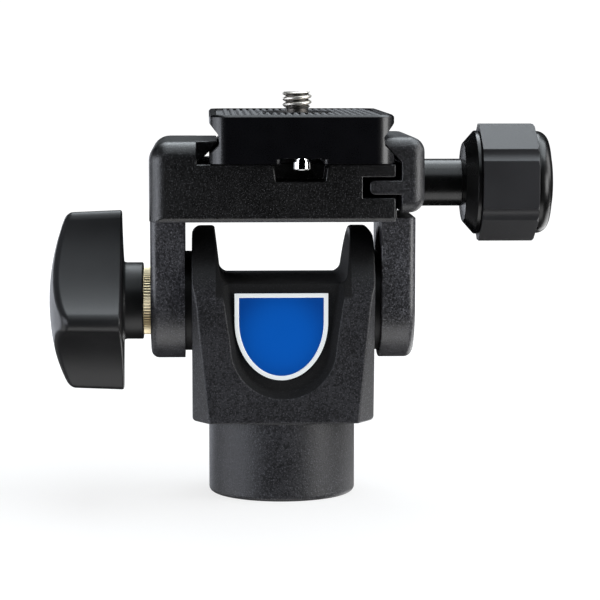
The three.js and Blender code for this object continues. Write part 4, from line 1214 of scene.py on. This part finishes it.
clamp_screw = thread("m6_screw", 3, 0.5, 1.0, 0, 24, sides=32)
joined(clamp_screw, turned("m6_core", [(0, -5), (2.5, -5), (2.5, 40), (0, 40)], sides=32))
common(clamp_screw, turned("m6_envelope", [
    (0, -1), (2.6, -1), (3.1, -0.5), (3.1, 24), (2.9, 26), (0, 26),
], sides=64))
joined(clamp_screw, turned("m6_shank", [(0, 25), (3, 25), (3, 49, 0.2), (0, 49)], sides=64))
laid(clamp_screw, 0, CLAMP_AXIS)
settled(clamp_screw, "clamp_screw", "clamp_knob", tool_steel)

insert_sleeve = ring("foot_insert", 4, 6, 0.3, 11.3, 0.15, "z", sides=96)
stud_cutter = thread("stud_cutter", 4.76, 0.9, 1.5875, -1, 13)
joined(stud_cutter, turned("stud_core", [(0, -4), (3.95, -4), (3.95, 16), (0, 16)], sides=48))
cut(insert_sleeve, stud_cutter)
settled(insert_sleeve, "thread_insert", "base", steel)

# %% [markdown]
# ## The springs
# Two short springs push the jaw open. A spring is a ring of wire wound up with the same modifier
# as the threads.

# %% Springs
COIL, WIRE, COILS = 1.25, 0.25, 7
SPRING_START, SPRING_END, SPRING_Y = 9.55, 17.45, 13
wire = drawn("wire", arc(COIL, 0, WIRE, 0, 324, 9))
wound(wire, (SPRING_END - SPRING_START) / COILS, COILS, 24)
laid(wire, SPRING_START)
for side, word in ((-1, "front"), (1, "rear")):
    spring = copied(wire, f"{word}_spring", (0, side * SPRING_Y, CLAMP_AXIS))
    settled(spring, f"jaw_spring_{word}", "platform", tool_steel)
bpy.data.objects.remove(wire)

# %% [markdown]
# ## Floor and light
# The photograph is a studio shot on white, and the head is so dark that it is drawn by what it
# reflects. A sheet of paper sweeps from under the object up behind it, but only the camera sees
# it: a glowing sheet all round would turn every dark rim pale. What lights the head are twelve
# soft panels on a dome round it. Most of the light comes from above and behind and from the right,
# less from the left, and a little from below, where the real paper throws light back. Each
# brightness was found by lighting the head with one panel of the dome at a time, and then
# comparing the sum with the photograph.

# %% Paper sweep
PAPER, PAPER_RISE, PAPER_BEND = 3000, 1600, 400
bpy.ops.mesh.primitive_plane_add(size=PAPER * MM, location=(0, 0, 0))
sweep = bpy.context.object
sweep.name = "paper_sweep"
pick(sweep, "EDGE", at(y=PAPER / 2))
pulled((0, 0, PAPER_RISE * MM))
rounded(sweep, PAPER_BEND, 16, at(y=PAPER / 2, z=0))
only(sweep)
bpy.ops.object.shade_smooth()


def paper():
    look, shader, place = new_look(
        "white paper", Roughness=0.9, Specular_IOR_Level=0.0, Emission_Strength=1.0
    )
    fibre = grain(place, 2.0)
    fed(shader, Base_Color=blended(fibre, grey(0.21), grey(0.23)))
    reach = place.node("VectorMath", {"operation": "LENGTH"}, {0: place}, out="Value")
    fed(shader, Emission_Color=blended(stepped(reach, 0.1, 0.35), grey(0.79), grey(1)))
    return look


sweep.data.materials.append(paper())
sweep.visible_diffuse = sweep.visible_glossy = sweep.visible_shadow = False


# %% Panels
HEAD, PANEL_AWAY = Vector((0, 0, 0.05)), 0.8


def panel(name, azimuth, elevation, width, height, brightness, tint=(1, 1, 1)):
    """A soft panel; azimuth 0 is the camera's side, and 90 the clamp knob's."""
    turn, rise = math.radians(azimuth), math.radians(elevation)
    flat = math.cos(rise)
    away = Vector((math.sin(turn) * flat, -math.cos(turn) * flat, math.sin(rise)))
    lamp = bpy.data.lights.new(name, "AREA")
    lamp.shape = "RECTANGLE"
    lamp.size, lamp.size_y = width, height
    lamp.energy = math.pi * width * height * brightness
    lamp.color = tint
    holder = bpy.data.objects.new(name, lamp)
    holder.location = HEAD + away * PANEL_AWAY
    holder.rotation_euler = (-away).to_track_quat("-Z", "Y").to_euler()
    holder.visible_camera = False
    bpy.context.collection.objects.link(holder)


COOL, COLD = (0.93, 1, 1.05), (0.95, 0.99, 1.08)
panel("above, at the back", 180, 60, 0.42, 0.42, 5.6, COOL)
panel("above, at the right", 90, 60, 0.8, 0.42, 4.2, COOL)
panel("above", 0, 89, 0.42, 0.42, 2.4, COOL)
panel("above, in front", 0, 55, 0.42, 0.42, 1.4, COOL)
panel("right", 60, 0, 0.42, 0.42, 5.6)
panel("right, higher", 90, 22, 0.42, 0.5, 3.2)
panel("right, low at the back", 132, -30, 0.7, 0.42, 2.5)
panel("left", -60, 0, 0.42, 0.42, 4.1, COLD)
panel("left, at the side", -90, 0, 0.42, 0.42, 2.3, COLD)
panel("left, at the back", -150, 0, 0.42, 0.42, 1.7, COLD)
panel("left, low", -105, -30, 0.7, 0.42, 0.9)
panel("below", 0, -70, 0.9, 0.6, 1.6)
world = bpy.data.worlds.new("studio")
bpy.context.scene.world = world
world.use_nodes = True
world.node_tree.nodes["Background"].inputs["Color"].default_value = (1, 1, 1, 1)
world.cycles_visibility.diffuse = world.cycles_visibility.glossy = False
bpy.context.scene.view_settings.view_transform = "Standard"

# %% [markdown]
# ## The camera
# The camera stands half a metre in front, a little higher than the plate and a little to the
# left, where the ellipse of the foot and the vanishing edges of the plate put it.

# %% Camera
LENS_PIXELS, PHOTO_PIXELS = 2373, 600
CAMERA_X, CAMERA_Y, CAMERA_Z = -16.3, -518.4, 96.4
LOOK_DOWN, LOOK_RIGHT = 5.98, 2.25
lens = bpy.data.cameras.new("camera")
lens.sensor_width = 36
lens.lens = lens.sensor_width * LENS_PIXELS / PHOTO_PIXELS
lens.clip_start = 0.01
camera = bpy.data.objects.new("camera", lens)
camera.location = (FOOT_X + CAMERA_X * MM, CAMERA_Y * MM, CAMERA_Z * MM)
camera.rotation_euler = (math.radians(90 - LOOK_DOWN), 0, math.radians(-LOOK_RIGHT))
bpy.context.collection.objects.link(camera)
bpy.context.scene.camera = camera
